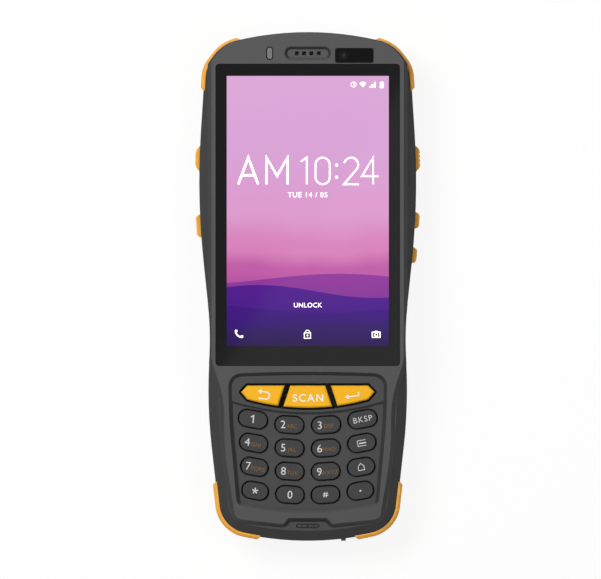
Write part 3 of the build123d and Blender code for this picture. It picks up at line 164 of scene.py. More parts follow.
def make_world():
    """Even light from all round.  Camera rays see a white backdrop; reflections see it white at the
    horizon and dark overhead."""
    world = bpy.data.worlds.new("studio")
    bpy.context.scene.world = world
    g = Graph(world)
    ray = g.node("ShaderNodeLightPath").outputs
    way = g.split(g.node("ShaderNodeTexCoord").outputs["Generated"])
    mirrored = g.spread(way["Z"], 0.1, 0.6, 1.0, CEILING)
    shiny = g.math("MAXIMUM", ray["Is Glossy Ray"], ray["Is Transmission Ray"])
    seen = g.between(ray["Is Camera Ray"], g.between(shiny, ROOM_LIGHT, mirrored), 1.0)
    sky = g.node("ShaderNodeBackground", {"Strength": seen})
    g.node("ShaderNodeOutputWorld", {"Surface": sky.outputs[0]})


def make_floor():
    """Pale floor that keeps the terminal's shadow.  To camera rays alone it also glows, so that it
    reads as white."""
    mesh = bpy.data.meshes.new("floor")
    build = bmesh.new()
    bmesh.ops.create_grid(build, x_segments=8, y_segments=8, size=FLOOR_HALF * MM)
    build.to_mesh(mesh)
    build.free()
    floor = bpy.data.objects.new("floor", mesh)
    floor.location.z = -FLOOR_DROP * MM
    bpy.context.scene.collection.objects.link(floor)
    g = Graph(bpy.data.materials.new("floor"))
    share = g.math("MULTIPLY", g.node("ShaderNodeLightPath").outputs["Is Camera Ray"], FLOOR_SHARE)
    pale = g.node("ShaderNodeBsdfDiffuse", {"Color": (0.86, 0.86, 0.86, 1)})
    glow = g.node("ShaderNodeEmission", {"Strength": FLOOR_GLOW})
    both = g.node("ShaderNodeMixShader", {0: share, 1: pale.outputs[0], 2: glow.outputs[0]})
    mesh.materials.append(g.end(both.outputs[0]))


# ---------------------------------------------------------------- materials
CLOUD = 16.0                  # size of the slow colour variation
BLOTCH = 2.2                  # size of the rubbed spots along an edge
ROUGH_SWAY = 0.04             # roughness varies by this much either way
RECESS_HALF = 30.2            # half width of the part of the face that holds the recesses
RECESS_MIDDLE, RECESS_REACH = -0.75, 77.4        # its middle and half length along the terminal
SEAM_HALF = 0.11              # half width of the painted seam line
SEAM_SHARE = 0.85             # how strongly the seam line covers the plastic
SLOPE_START, SLOPE_FULL = 0.97, 0.72             # a face is a slope, and gets painted shade, as its normal's Z falls past these
HEAD_START, HEAD_FULL = 0.45, 0.65               # and faces the head as its normal's Y rises past these; such faces, towards the key light, are spared the painted shade
UPRIGHT = 0.35                # a wall is upright, and gets the painted recess shade, when its normal's Z is under this
RUBBED_PALER, RUBBED_GLOSS = 1.9, -0.15          # colour factor and roughness change of rubbed edges


def linear(red, green, blue):
    """Colour as a shader wants it, from values of 0 to 255 as a screen shows them."""
    def channel(value):
        value /= 255
        return value / 12.92 if value <= 0.04045 else ((value + 0.055) / 1.055) ** 2.4
    return (channel(red), channel(green), channel(blue), 1.0)


def times(colour, factor):
    """Colour made lighter or darker."""
    return tuple(min(1.0, c * factor) for c in colour[:3]) + (1.0,)


def slope_shade_share(g, normal):
    """Share of painted shade: 1 on faces that tilt away from the deck, except those that face the head,
    towards the key light; 0 on level faces.
    """
    way = g.split(normal)
    tilted = g.spread(g.math("ABSOLUTE", way["Z"]), SLOPE_FULL, SLOPE_START, 1.0, 0.0)
    return g.math("MULTIPLY", tilted, g.spread(way["Y"], HEAD_START, HEAD_FULL, 1.0, 0.0))


def recess_shade_share(g, spot, normal, level):
    """Share of painted shade: 1 on upright walls inside the face's recesses, above a level in mm, where
    shade falls; 0 elsewhere.
    """
    across = g.math("LESS_THAN", g.math("ABSOLUTE", spot["X"]), RECESS_HALF * MM)
    along = g.math("COMPARE", spot["Y"], RECESS_MIDDLE * MM, third=RECESS_REACH * MM)
    upright = g.math("LESS_THAN", g.math("ABSOLUTE", g.split(normal)["Z"]), UPRIGHT)
    above = g.math("GREATER_THAN", spot["Z"], level * MM)
    return g.math("MULTIPLY", g.math("MULTIPLY", across, along), g.math("MULTIPLY", upright, above))


def finish(name, colour, rough, cloud=0.05, grain=0.30, relief=0.012, edge=0.22, wear=0.35, worn=None,
           shade_bands=(), lean=1.0, pit=None, seam=None, metallic=0.0, specular=0.5):
    """Moulded or painted surface: slow colour variation, fine grain, soft edges that are rubbed paler.
    shade_bands are (height in mm, colour): below each height the surface has that colour, as painted shade.
    Sloping faces are darker by lean, as painted shade, except those that face the head, towards the key
    light.  Upright walls of the face's recesses are nearly black above the height pit, as painted shade,
    and a dark line runs at the height seam."""
    g = Graph(bpy.data.materials.new(name))
    place = g.node("ShaderNodeTexCoord").outputs
    where = place["Object"]
    spot = g.split(where)
    slow = g.spread(g.noise(where, CLOUD, 4.0), 0.3, 0.7)
    fine = g.noise(where, grain, 2.0, 0.6)
    base = colour
    # painted shade: below each height the colour is darker (the recessed keypad field, the sloping flank,
    # the keys' sides in their gaps)
    for height, other in shade_bands:
        base = g.mix(g.math("LESS_THAN", spot["Z"], height * MM), base, other)

    def shade(factor):
        if shade_bands:
            return g.mix(1.0, base, (factor,) * 3 + (1,), "MULTIPLY")
        return times(colour, factor)

    light = shade(1 + cloud)
    coat = g.mix(g.spread(fine, 0.35, 0.75), g.mix(slow, shade(1 - cloud), light), light)
    # painted shade: sloping faces are darkened by lean, except those that face the head, towards the key
    # light
    if lean < 1.0:
        coat = g.mix(slope_shade_share(g, place["Normal"]), coat, times(colour, lean))
    soft = g.node("ShaderNodeBevel", {"Radius": edge * MM}, samples=6).outputs[0]
    flat = g.node("ShaderNodeNewGeometry").outputs["Normal"]
    turn = g.node("ShaderNodeVectorMath", {0: soft, 1: flat}, operation="DOT_PRODUCT").outputs["Value"]
    blotch = g.spread(g.noise(where, BLOTCH, 5.0), 0.42, 0.66)
    rub = g.math("MULTIPLY", g.math("MULTIPLY", g.spread(turn, 1.0, 0.92), blotch), wear, clamp=True)
    coat = g.mix(rub, coat, worn or times(colour, RUBBED_PALER))
    # painted shade: upright walls inside the face's recesses are made nearly black
    if pit:
        coat = g.mix(recess_shade_share(g, spot, place["Normal"], pit), coat, linear(14, 14, 14))
    if seam:
        line = g.math("COMPARE", spot["Z"], seam * MM, third=SEAM_HALF * MM)
        coat = g.mix(g.math("MULTIPLY", line, SEAM_SHARE), coat, linear(16, 16, 16))
    bump = g.node("ShaderNodeBump", {"Height": fine, "Strength": 0.6, "Distance": relief * MM,
                                     "Normal": soft}).outputs[0]
    matt = g.math("ADD", g.spread(slow, 0.0, 1.0, rough - ROUGH_SWAY, rough + ROUGH_SWAY),
                  g.math("MULTIPLY", rub, RUBBED_GLOSS))
    shader = g.node("ShaderNodeBsdfPrincipled", {
        "Base Color": coat, "Roughness": matt, "Normal": bump, "Metallic": metallic,
        "Specular IOR Level": specular})
    return g.end(shader.outputs[0])


def glossy(name, colour, rough=0.04, specular=0.5):
    """Polished glass or gloss plastic with faint smears."""
    g = Graph(bpy.data.materials.new(name))
    where = g.node("ShaderNodeTexCoord").outputs["Object"]
    smear = g.noise(where, 9.0, 5.0, 0.65)
    dust = g.spread(g.noise(where, 0.18, 2.0), 0.68, 0.8)
    matt = g.math("ADD", g.spread(smear, 0.35, 0.75, rough, rough + 0.03), g.math("MULTIPLY", dust, 0.05))
    tint = g.mix(g.spread(smear, 0.3, 0.7), times(colour, 0.94), times(colour, 1.06))
    shader = g.node("ShaderNodeBsdfPrincipled", {
        "Base Color": tint, "Roughness": matt, "Specular IOR Level": specular})
    return g.end(shader.outputs[0])


def lit(name, low, high, stops, sway=0.02):
    """Lit picture layer: colours that change up the display between two heights along Y, in mm."""
    g = Graph(bpy.data.materials.new(name))
    where = g.node("ShaderNodeTexCoord").outputs["Object"]
    spot = g.split(where)
    drift = g.spread(g.noise(where, 26.0, 2.0, 0.45), 0.3, 0.7, -sway, sway)
    share = g.math("ADD", g.spread(spot["Y"], low * MM, high * MM), drift)
    ramp = g.node("ShaderNodeValToRGB", {"Fac": share})
    ramp.color_ramp.interpolation = "EASE"
    points = ramp.color_ramp.elements
    while len(points) < len(stops):
        points.new(0.5)
    for point, (at, colour) in zip(points, stops):
        point.position = at
        point.color = linear(*colour)
    shader = g.node("ShaderNodeBsdfPrincipled", {
        "Base Color": (0.004, 0.004, 0.004, 1), "Roughness": 0.05, "Specular IOR Level": 0.3,
        "Emission Color": ramp.outputs[0], "Emission Strength": 1.0})
    return g.end(shader.outputs[0])


def ink(name, colour, rough=0.5, glow=0.0):
    """Printed legend, slightly uneven."""
    g = Graph(bpy.data.materials.new(name))
    where = g.node("ShaderNodeTexCoord").outputs["Object"]
    rubbed = g.spread(g.noise(where, 0.5, 3.0), 0.3, 0.7)
    tint = g.mix(rubbed, times(colour, 0.9), colour)
    settings = {"Base Color": tint, "Roughness": rough}
    if glow:
        settings["Emission Color"] = tint
        settings["Emission Strength"] = glow
    return g.end(g.node("ShaderNodeBsdfPrincipled", settings).outputs[0])


FIELD_LEVEL, FLANK_LEVEL = 19.02, 18.2           # the housing is keypad field, then flank, below these; both are painted darker, as painted shade
RECESS_SHADOW_LEVEL = 15.0                                 # recess walls are painted dark above this, as painted shade
NUMBER_GAP_SHADOW_LEVEL, FUNCTION_GAP_SHADOW_LEVEL = 18.6, 19.1          # the keys' sides are painted black below these, as painted shade in the gaps round the keys
GREY = linear(79, 79, 80)
# the keypad field and the flank are painted darker than the deck, as painted shade of the recess and of the
# slope
SHADOWED_FIELD = linear(69, 69, 70)
SHADOWED_FLANK = linear(43, 43, 44)
BLACK = linear(22, 22, 23)
PAINTED_GAP_SHADOW = linear(12, 12, 12)
paint = {
    # housing: painted shade by height, on slopes by lean and on recess walls above pit
    "housing": finish("housing_plastic", GREY, 0.52, cloud=0.03, grain=0.26, relief=0.014, wear=0.4,
                      shade_bands=((FIELD_LEVEL, SHADOWED_FIELD), (FLANK_LEVEL, SHADOWED_FLANK)), lean=0.45, pit=RECESS_SHADOW_LEVEL,
                      seam=Z_PART, specular=0.3),
    "rear": finish("rear_plastic", linear(54, 54, 55), 0.58, grain=0.34, relief=0.03, wear=0.35,
                   seam=Z_PART, specular=0.35),
    "cover": finish("cover_plastic", linear(50, 50, 51), 0.64, grain=0.55, relief=0.05, wear=0.3),
    "bumper": finish("bumper_elastomer", linear(250, 176, 58), 0.4, cloud=0.02, relief=0.012, edge=0.7,
                     wear=0.6, worn=linear(255, 208, 112), specular=0.4),
    # number and function keys: sides painted black below a height, as painted shade in their gaps
    "number_key": finish("number_key_plastic", linear(60, 60, 61), 0.45, cloud=0.03, relief=0.006,
                         edge=0.3, wear=0.25, specular=0.3, shade_bands=((NUMBER_GAP_SHADOW_LEVEL, PAINTED_GAP_SHADOW),)),
    "function_key": finish("function_key_plastic", linear(255, 188, 30), 0.5, cloud=0.012, relief=0.004,
                           edge=0.12, wear=0.15, worn=linear(255, 206, 96), specular=0.2,
                           shade_bands=((FUNCTION_GAP_SHADOW_LEVEL, PAINTED_GAP_SHADOW),)),
    "side_key": finish("side_key_plastic", linear(252, 180, 62), 0.48, cloud=0.02, relief=0.008, wear=0.3,
                       worn=linear(255, 204, 118), specular=0.3),
    "glass": glossy("black_glass", linear(29, 29, 30), specular=0.35),
    "dark_window": glossy("dark_window", linear(20, 20, 21), specular=0.3),
    "scan_window": glossy("scan_window", linear(58, 9, 11)),
    "lens": glossy("lens_glass", linear(18, 20, 34), rough=0.02, specular=0.8),
    "ring": finish("lens_ring", linear(26, 26, 28), 0.3, relief=0.002, wear=0.1),
    "diffuser": finish("diffuser", linear(112, 112, 112), 0.4, relief=0.004, wear=0.1),
    "rubber": finish("rubber", linear(52, 52, 53), 0.72, grain=0.2, relief=0.02, wear=0.2),
    "tab": finish("tab_rubber", linear(118, 118, 119), 0.6, relief=0.006, wear=0.1, specular=0.3),
    "gauze": finish("gauze", linear(58, 58, 59), 0.6, grain=0.12, relief=0.03, wear=0.1),
    "steel": finish("steel", linear(190, 190, 192), 0.34, cloud=0.02, relief=0.004, metallic=1.0, wear=0.3,
                    worn=linear(225, 225, 228)),
    "black": finish("black_plastic", BLACK, 0.55, relief=0.01, wear=0.2),
    "board": finish("solder_mask", linear(16, 86, 52), 0.4, cloud=0.08, grain=0.6, relief=0.02),
    "battery": finish("battery_case", linear(52, 52, 56), 0.5, relief=0.015),
    # painted shadow along the step between the function keys and the number keys
    "bead": finish("bead", linear(34, 34, 35), 0.6, relief=0.004, wear=0.1, specular=0.3),
    "white_ink": ink("white_ink", linear(222, 222, 220)),
    "orange_ink": ink("orange_ink", linear(132, 92, 6)),
    "cream_ink": ink("cream_ink", linear(255, 252, 240)),
    "dark_ink": ink("dark_ink", linear(14, 14, 14)),
}
DRESS = {                     # nodes that are named here; dress_nodes knows the rest by their kind
    "front_housing": "housing", "rear_housing": "rear", "battery_cover": "cover", "touch_glass": "glass",
    "display_tray": "steel", "sensor_window": "dark_window", "scan_window": "scan_window",
    "rear_camera_window": "dark_window", "light_pipe": "diffuser", "flash_lens": "diffuser",
    "usb_flap": "rubber", "usb_connector": "steel", "cover_screw_left": "steel",
    "cover_screw_right": "steel", "main_board": "board", "keypad_board": "board", "shield_cans": "steel",
    "snap_domes": "steel", "keypad_mat": "rubber", "cover_seal": "rubber", "battery_pack": "battery",
    "battery_contacts": "steel", "microphone": "steel",
}
FUNCTION_KEYS = ("key_back", "key_scan", "key_enter")


def dress_nodes():
    """Gives every CAD node its material."""
    for name, thing in nodes.items():
        if name in FUNCTION_KEYS:
            look = "function_key"
        elif name.startswith("key_"):
            look = "number_key"
        elif name.startswith("bumper"):
            look = "bumper"
        elif name.endswith("_key") or name.startswith("scan_key"):
            look = "side_key"
        else:
            look = "black"
        look = DRESS.get(name, look)
        thing.data.materials.clear()
        thing.data.materials.append(paint[look])


# ---------------------------------------------------------------- flat shapes
CAPITAL_FOOT, CAPITAL_TOP = -0.3, 0.382          # of the built-in typeface, centred, at size 1
WAYS = {                      # directions of a flat shape's across, up and outward, for each side
    "face": ((1, 0, 0), (0, 1, 0), (0, 0, 1)),
    "back": ((1, 0, 0), (0, 1, 0), (0, 0, -1)),
    "head": ((-1, 0, 0), (0, 0, 1), (0, 1, 0)),
}


def ribbon(points, width, closed=False):
    """Line of even width through the points, as (points, faces), drawn flat."""
    count = len(points)
    verts, faces = [], []
    for index, (x, y) in enumerate(points):
        before = points[index - 1] if index or closed else None
        after = points[(index + 1) % count] if index < count - 1 or closed else None
        ways = []
        if before:
            ways.append(Vector((x - before[0], y - before[1])).normalized())
        if after:
            ways.append(Vector((after[0] - x, after[1] - y)).normalized())
        way = sum(ways, Vector((0, 0))).normalized()
        side = Vector((-way.y, way.x))
        reach = width / 2 / max(0.35, side.dot(Vector((-ways[0].y, ways[0].x))))
        verts += [(x + side.x * reach, y + side.y * reach), (x - side.x * reach, y - side.y * reach)]
    for index in range(count if closed else count - 1):
        a, b = 2 * index, 2 * ((index + 1) % count)
        faces.append((a, a + 1, b + 1, b))
    return verts, faces


def patch(points):
    """Filled outline."""
    return list(points), [tuple(range(len(points)))]


def dot(x, y, radius, sides=20):
    """Filled circle."""
    return patch([(x + radius * cos(2 * pi * i / sides), y + radius * sin(2 * pi * i / sides))
                  for i in range(sides)])


def arc(x, y, radius, start, end, steps=12):
    """Points along an arc, in degrees."""
    angles = [radians(start + (end - start) * i / steps) for i in range(steps + 1)]
    return [(x + radius * cos(a), y + radius * sin(a)) for a in angles]


def hoop(radius, width, steps, y=0):
    """Ring of even width."""
    return ribbon(arc(0, y, radius, 0, 360, steps)[:-1], width, True)


def frame_points(left, right, low, top):
    """Corners of an upright rectangle."""
    return [(left, low), (right, low), (right, top), (left, top)]


def slot(length, width):
    """Points of a slot's outline, from its middle."""
    reach = (length - width) / 2
    return arc(reach, 0, width / 2, -90, 90, 10) + arc(-reach, 0, width / 2, 90, 270, 10)


def words(text, height, spacing=1.0, weight=0.0):
    """Lettering in the plain built-in typeface, centred, its capitals height millimetres high."""
    curve = bpy.data.curves.new("words", "FONT")
    curve.body = text
    curve.align_x, curve.align_y = "CENTER", "CENTER"
    curve.space_character = spacing
    curve.offset = weight
    curve.resolution_u = 4
    thing = bpy.data.objects.new("words", curve)
    bpy.context.scene.collection.objects.link(thing)
    bpy.context.view_layer.update()
    mesh = bpy.data.meshes.new_from_object(thing.evaluated_get(bpy.context.evaluated_depsgraph_get()))
    verts = [(v.co.x, v.co.y) for v in mesh.vertices]
    faces = [tuple(p.vertices) for p in mesh.polygons]
    bpy.data.objects.remove(thing)
    scale = height / (CAPITAL_TOP - CAPITAL_FOOT)
    middle = (CAPITAL_TOP + CAPITAL_FOOT) / 2
    return [(x * scale, (y - middle) * scale) for x, y in verts], faces


def printed(name, shapes, material, body, level, place=(0, 0), turn=0.0, thick=PRINT, side="face"):
    """Flat shapes as thin raised layers of one piece that rides on a body.  Their undersides lie level
    mm along the frame's axis that the side faces; each next layer is a little thicker."""
    across, up, out = (Vector(way) for way in WAYS[side])
    base = Vector([abs(c) * level for c in out])
    swing = Matrix.Rotation(radians(turn), 2)
    build = bmesh.new()
    for index, (verts, faces) in enumerate(shapes):
        rows = []
        for rise in (0.0, thick * (1 + LAYER_STEP * index)):
            spots = [swing @ Vector(vert) for vert in verts]
            points = [base + out * rise + across * (s.x + place[0]) + up * (s.y + place[1]) for s in spots]
            rows.append([build.verts.new(point * MM) for point in points])
        uses = {}
        for face in faces:
            build.faces.new([rows[1][i] for i in face])
            build.faces.new([rows[0][i] for i in reversed(face)])
            for first, second in zip(face, face[1:] + face[:1]):
                uses.setdefault(frozenset((first, second)), []).append((first, second))
        for rim in uses.values():
            if len(rim) == 1:
                first, second = rim[0]
                build.faces.new([rows[0][first], rows[0][second], rows[1][second], rows[1][first]])
    bmesh.ops.recalc_face_normals(build, faces=build.faces)
    mesh = bpy.data.meshes.new(name)
    build.to_mesh(mesh)
    build.free()
    mesh.materials.append(material)
    piece = bpy.data.objects.new(name, mesh)
    bpy.context.scene.collection.objects.link(piece)
    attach(piece, body)


# ---------------------------------------------------------------- the lit display
SCREEN_HALF = 26.15
SCREEN_LOW, SCREEN_TOP = -19.05, 68.15
WAVE_RISE = 1.5               # a wave's own colours end this far above its level
SWELLS = (                    # name, level, waves as (size, length, shift), colours from foot to crest
    ("far", 2.6, ((1.7, 15.0, 0.9),), ((0.0, (106, 34, 142)), (1.0, (144, 56, 156)))),
    ("middle", -1.4, ((2.1, 12.0, 2.9),), ((0.0, (60, 18, 122)), (1.0, (80, 24, 142)))),
    ("near", -6.4, ((1.9, 17.0, 4.4),), ((0.0, (50, 20, 106)), (1.0, (64, 18, 130)))),
    ("front", -12.6, ((1.6, 14.0, 0.6),), ((0.0, (42, 20, 84)), (1.0, (54, 26, 108)))),
)
SKY = ((0.2, (176, 78, 158)), (0.274, (192, 92, 167)), (0.356, (216, 130, 188)), (0.504, (221, 155, 206)),
       (0.74, (217, 163, 214)), (1.0, (220, 168, 216)))
CLOCK = (("A", -18.3), ("M", -9.0), ("1", 0.2), ("0", 5.7), ("2", 14.9), ("4", 20.9))
COLON_X, COLON_LOW, COLON_TOP = 10.2, -2.0, 1.9
LETTER_STROKE, DIGIT_STROKE = 0.75, 0.55
SCREEN_PLACES = {             # middle of each sign on the display
    "clock": (-0.9, 37.5), "date": (0, 29.8), "call": (0, -5.8),
    "phone": (-22.3, -15.1), "padlock": (-0.1, -15.1), "camera": (22.1, -15.3),
    "alarm": (14.8, 65.4), "wireless": (17.8, 65.4), "signal": (20.9, 65.3), "battery": (23.9, 65.3),
}


def swell(level, waves):
    """Outline of a long wave across the display, filled down to its lower edge."""
    steps = 96
    crest = []
    for index in range(steps + 1):
        x = SCREEN_HALF * (1 - 2 * index / steps)
        y = level + sum(size * sin(x / length + shift) for size, length, shift in waves)
        crest.append((x, y))
    return patch([(-SCREEN_HALF, SCREEN_LOW), (SCREEN_HALF, SCREEN_LOW)] + crest)


def make_picture():
    """Generic picture: a soft dusk gradient with four long overlapping waves.  Gives its top's height."""
    whole = patch(frame_points(-SCREEN_HALF, SCREEN_HALF, SCREEN_LOW, SCREEN_TOP))
    layers = [("sky", whole, lit("picture_sky", SCREEN_LOW, SCREEN_TOP, SKY))]
    for name, level, waves, stops in SWELLS:
        tone = lit("picture_" + name, SCREEN_LOW, level + WAVE_RISE, stops, sway=0.12)
        layers.append((name, swell(level, waves), tone))
    for index, (name, shape, tone) in enumerate(layers):
        printed("picture_" + name, [shape], tone, "root", Z_GLASS + PRINT * index / 2, thick=PRINT / 2)
    return Z_GLASS + PRINT * len(layers) / 2


def clock_strokes(kind):
    """Thin strokes of one clock character, as (points, closed); w and h are half a digit's size."""
    w, h = 2.3, 4.3
    return {
        "0": [(arc(0, h - w, w, 0, 180) + arc(0, w - h, w, 180, 360), True)],
        "1": [([(-1.6, h - 1.3), (0.4, h), (0.4, -h)], False)],
        "2": [(arc(0, h - w, w, 165, -35, 14) + [(-w, -h), (w + 0.2, -h)], False)],
        "4": [([(w + 0.5, -1.7), (-w - 0.2, -1.7), (1.1, h), (1.1, -h)], False)],
        "A": [([(-3.2, -h), (0, h), (3.2, -h)], False), ([(-2.0, -1.4), (2.0, -1.4)], False)],
        "M": [([(-3.4, -h), (-3.4, h), (0, -1.6), (3.4, h), (3.4, -h)], False)],
    }[kind]


def clock_shapes():
    """The whole clock: AM, then the time."""
    shapes = []
    for kind, x in CLOCK:
        width = LETTER_STROKE if kind in "AM" else DIGIT_STROKE
        for line, closed in clock_strokes(kind):
            shapes.append(ribbon([(px + x, py) for px, py in line], width, closed))
    return shapes + [dot(COLON_X, y, 0.5) for y in (COLON_LOW, COLON_TOP)]


def make_screen_signs(z):
    """Clock, date, one word, and plain lock-screen and status symbols, in white."""
    white = ink("screen_white", linear(255, 252, 255), rough=0.3, glow=0.9)
    bars = ((-0.75, -0.4), (0.0, 0.25), (0.75, 0.95))
    signs = {
        "clock": clock_shapes(),
        "date": [words("TUE 14 / 05", height=1.6, spacing=1.12, weight=0.008)],
        "call": [words("UNLOCK", height=1.45, spacing=1.06, weight=0.01)],
        "phone": [ribbon(arc(1.0, 0.95, 1.95, 178, 272, 12), 0.5), dot(-0.82, 0.95, 0.44, 16),
                  dot(1.04, -0.88, 0.44, 16)],
        "padlock": [ribbon(arc(0, 0.5, 0.68, 0, 180, 12), 0.28),
                    ribbon(frame_points(-1.0, 1.0, -1.4, 0.35), 0.3, True), dot(0, -0.52, 0.3, 14)],
        "camera": [ribbon(frame_points(-1.25, 1.25, -0.9, 0.75), 0.36, True),
                   patch([(-0.6, 0.84), (0.6, 0.84), (0.4, 1.2), (-0.4, 1.2)]),
                   hoop(radius=0.5, width=0.26, steps=18, y=-0.08)],
        "alarm": [hoop(radius=0.8, width=0.2, steps=18),
                  ribbon([(0, 0.5), (0, -0.08), (0.4, -0.08)], 0.17)],
        "wireless": [patch([(0, -0.9)] + arc(0, -0.9, 1.75, 50, 130, 10))],
        "signal": [patch(frame_points(x - 0.24, x + 0.24, -0.95, top)) for x, top in bars],
        "battery": [patch(frame_points(-0.62, 0.62, -1.05, 0.8)), patch(frame_points(-0.3, 0.3, 0.8, 1.1))],
    }
    for name, shapes in signs.items():
        printed("screen_" + name, shapes, white, "root", z, SCREEN_PLACES[name])


# ---------------------------------------------------------------- key legends
LEGENDS = {
    "key_1": ("1", ""), "key_2": ("2", "ABC"), "key_3": ("3", "DEF"),
    "key_4": ("4", "GHI"), "key_5": ("5", "JKL"), "key_6": ("6", "MNO"),
    "key_7": ("7", "PQRS"), "key_8": ("8", "TUV"), "key_9": ("9", "WXYZ"),
    "key_star": ("*", ""), "key_0": ("0", ""), "key_hash": ("#", ""),
}
COLUMN_SPLIT = 11             # the outer columns of number keys lie further than this from the middle
OUTER_TURN, INNER_TURN = 10.5, 4.0               # tilt of the outer and inner columns
DIGIT_SHIFT = -2.05           # a digit with letters beside it stands this far left
THREE_SHIFT, FOUR_SHIFT = 0.85, 1.2              # three and four letters stand this far right
LETTER_DROP = -0.4
DIGIT_HEIGHT, LETTER_HEIGHT = 2.45, 1.25


def key_turn(name):
    """Tilt of a number key, from where it stands."""
    x = centre(name)[0]
    tilt = OUTER_TURN if abs(x) > COLUMN_SPLIT else INNER_TURN
    return tilt if x > 0 else -tilt


def beside(name, across, up):
    """Place across and up from a number key's middle, along the key's own tilt."""
    x, y = centre(name)
    lean = radians(key_turn(name))
    return (x + across * cos(lean) - up * sin(lean), y + across * sin(lean) + up * cos(lean))


def sign(main):
    """Shapes of one main legend: a flagged 1, a five-armed star, a hash, or lettering."""
    if main == "1":
        return [ribbon([(-0.72, 0.62), (0.12, 1.22), (0.12, -1.22)], 0.36)]
    if main == "*":
        arms = [(cos(radians(90 + 72 * i)), sin(radians(90 + 72 * i))) for i in range(5)]
        return [ribbon([(0.12 * x, 0.12 * y), (1.0 * x, 1.0 * y)], 0.36) for x, y in arms]
    if main == "#":
        bars = [ribbon([(x - 0.18, -0.85), (x + 0.18, 0.85)], 0.24) for x in (-0.36, 0.36)]
        return bars + [ribbon([(-0.85, y), (0.85, y)], 0.24) for y in (-0.3, 0.3)]
    return [words(main, DIGIT_HEIGHT)]


def make_number_legends():
    """White digits that tilt half as much as their keys, with small orange letters beside them that
    tilt as the keys do."""
    for name, (main, letters) in LEGENDS.items():
        turn = key_turn(name)
        place = beside(name, DIGIT_SHIFT if letters else 0.0, 0.0)
        printed(name + "_digit", sign(main), paint["white_ink"], name, Z_NUMBER_KEYS, place, turn / 2)
        if letters:
            place = beside(name, THREE_SHIFT if len(letters) == 3 else FOUR_SHIFT, LETTER_DROP)
            shapes = [words(letters, LETTER_HEIGHT, spacing=1.06)]
            printed(name + "_letters", shapes, paint["orange_ink"], name, Z_NUMBER_KEYS, place, turn)


def make_symbol_legends():
    """Backspace lettering, menu, home and point on the outer right column."""
    menu = [ribbon([(1.35, 0.9), (-1.35, 0.9), (-1.35, -0.9), (1.35, -0.9)], 0.22),
            ribbon([(-0.95, 0.0), (1.4, 0.0)], 0.42)]
    home = [ribbon([(-0.95, -1.05), (0.95, -1.05), (0.95, 0.25), (0, 1.15), (-0.95, 0.25)], 0.22, True)]
    backspace = [words("BKSP", height=1.8, spacing=1.16, weight=-0.006)]
    signs = (
        ("key_backspace", backspace, key_turn("key_backspace")),
        ("key_menu", menu, key_turn("key_menu")),
        ("key_home", home, key_turn("key_home")),
        ("key_dot", [dot(0, 0, 0.3, 16)], 0.0),
    )
    for name, shapes, turn in signs:
        printed(name + "_legend", shapes, paint["white_ink"], name, Z_NUMBER_KEYS, centre(name), turn)


def make_function_legends():
    """Back arrow, SCAN and enter arrow in cream on the orange keys."""
    back = [ribbon([(-1.1, 0.95), (0.7, 0.95)] + arc(0.75, -0.2, 1.15, 90, -90, 12) + [(-1.5, -1.35)], 0.4),
            patch([(-2.0, 0.95), (-0.9, 1.75), (-0.9, 0.15)])]
    enter = [ribbon([(-1.3, -0.35), (2.1, -0.35), (2.1, 0.75)], 0.38),
             patch([(-2.4, -0.35), (-1.15, 0.4), (-1.15, -1.1)])]
    signs = (
        ("key_back", back, (-14.2, -34.7), -8),
        ("key_scan", [words("SCAN", height=2.3, spacing=1.26, weight=0.014)], (0.15, -35.75), 0.0),
        ("key_enter", enter, (14.3, -34.9), 8),
    )
    for name, shapes, place, turn in signs:
        printed(name + "_legend", shapes, paint["cream_ink"], name, Z_FUNCTION_KEYS, place, turn)


# ---------------------------------------------------------------- openings and windows
FILM = 0.01                   # thickness of what is printed on a window or a grille
MIC_Y, MIC_FLOOR = -77.15, 2.2                   # the microphone slot's middle and depth under the deck
SEAL_SIZE, SEAL_THICK = (7.5, 1.34), 0.12
GRILLE_SIZE, GRILLE_THICK = (6.7, 0.76), 0.22
GRILLE_HOLES = ((-2.0, 0.27), (0, 0.37), (2.0, 0.27))  # place across and radius of each dark dot, painted shade standing for a hole
TAB_LEFT, TAB_RIGHT, TAB_END = 10.85, 12.25, -81.3
TAB_MARGIN = 0.04             # the tab's face keeps this far from its tip
TAB_TOP = 10.6                # top of the port flap's pull tab
STEP_Y = -40.95               # lowest place of the curved step between the function and number keys
STEP_HALF, STEP_SAG = 24.6, 3.65                 # its half width; its middle lies this far below its ends
LINE_SHIFT, LINE_WIDTH = 0.32, 0.5               # its painted shadow line lies this far towards the head
LINE_DEPTH = 1.1              # and this far under the deck
SENSOR_CORNER = 0.75          # radius of the sensor window's corners
CORNER_THICK = 0.035          # a corner patch rises from the window's top to just under the deck
FRONT_LENS_X = 11.6
FLASH_HALF = 1.3
SCAN_LENS_X, SCAN_LAMP_X = 4.5, -6.5             # as seen from the head end
SOUND_SLOTS, SOUND_PITCH = 5, 2.0
SOUND_HALF_LENGTH, SOUND_HALF_WIDTH = 4.95, 0.4
GAUZE_LEVEL, GAUZE_THICK = 0.9, 0.2              # the gauze's inner face lies this far inside the back


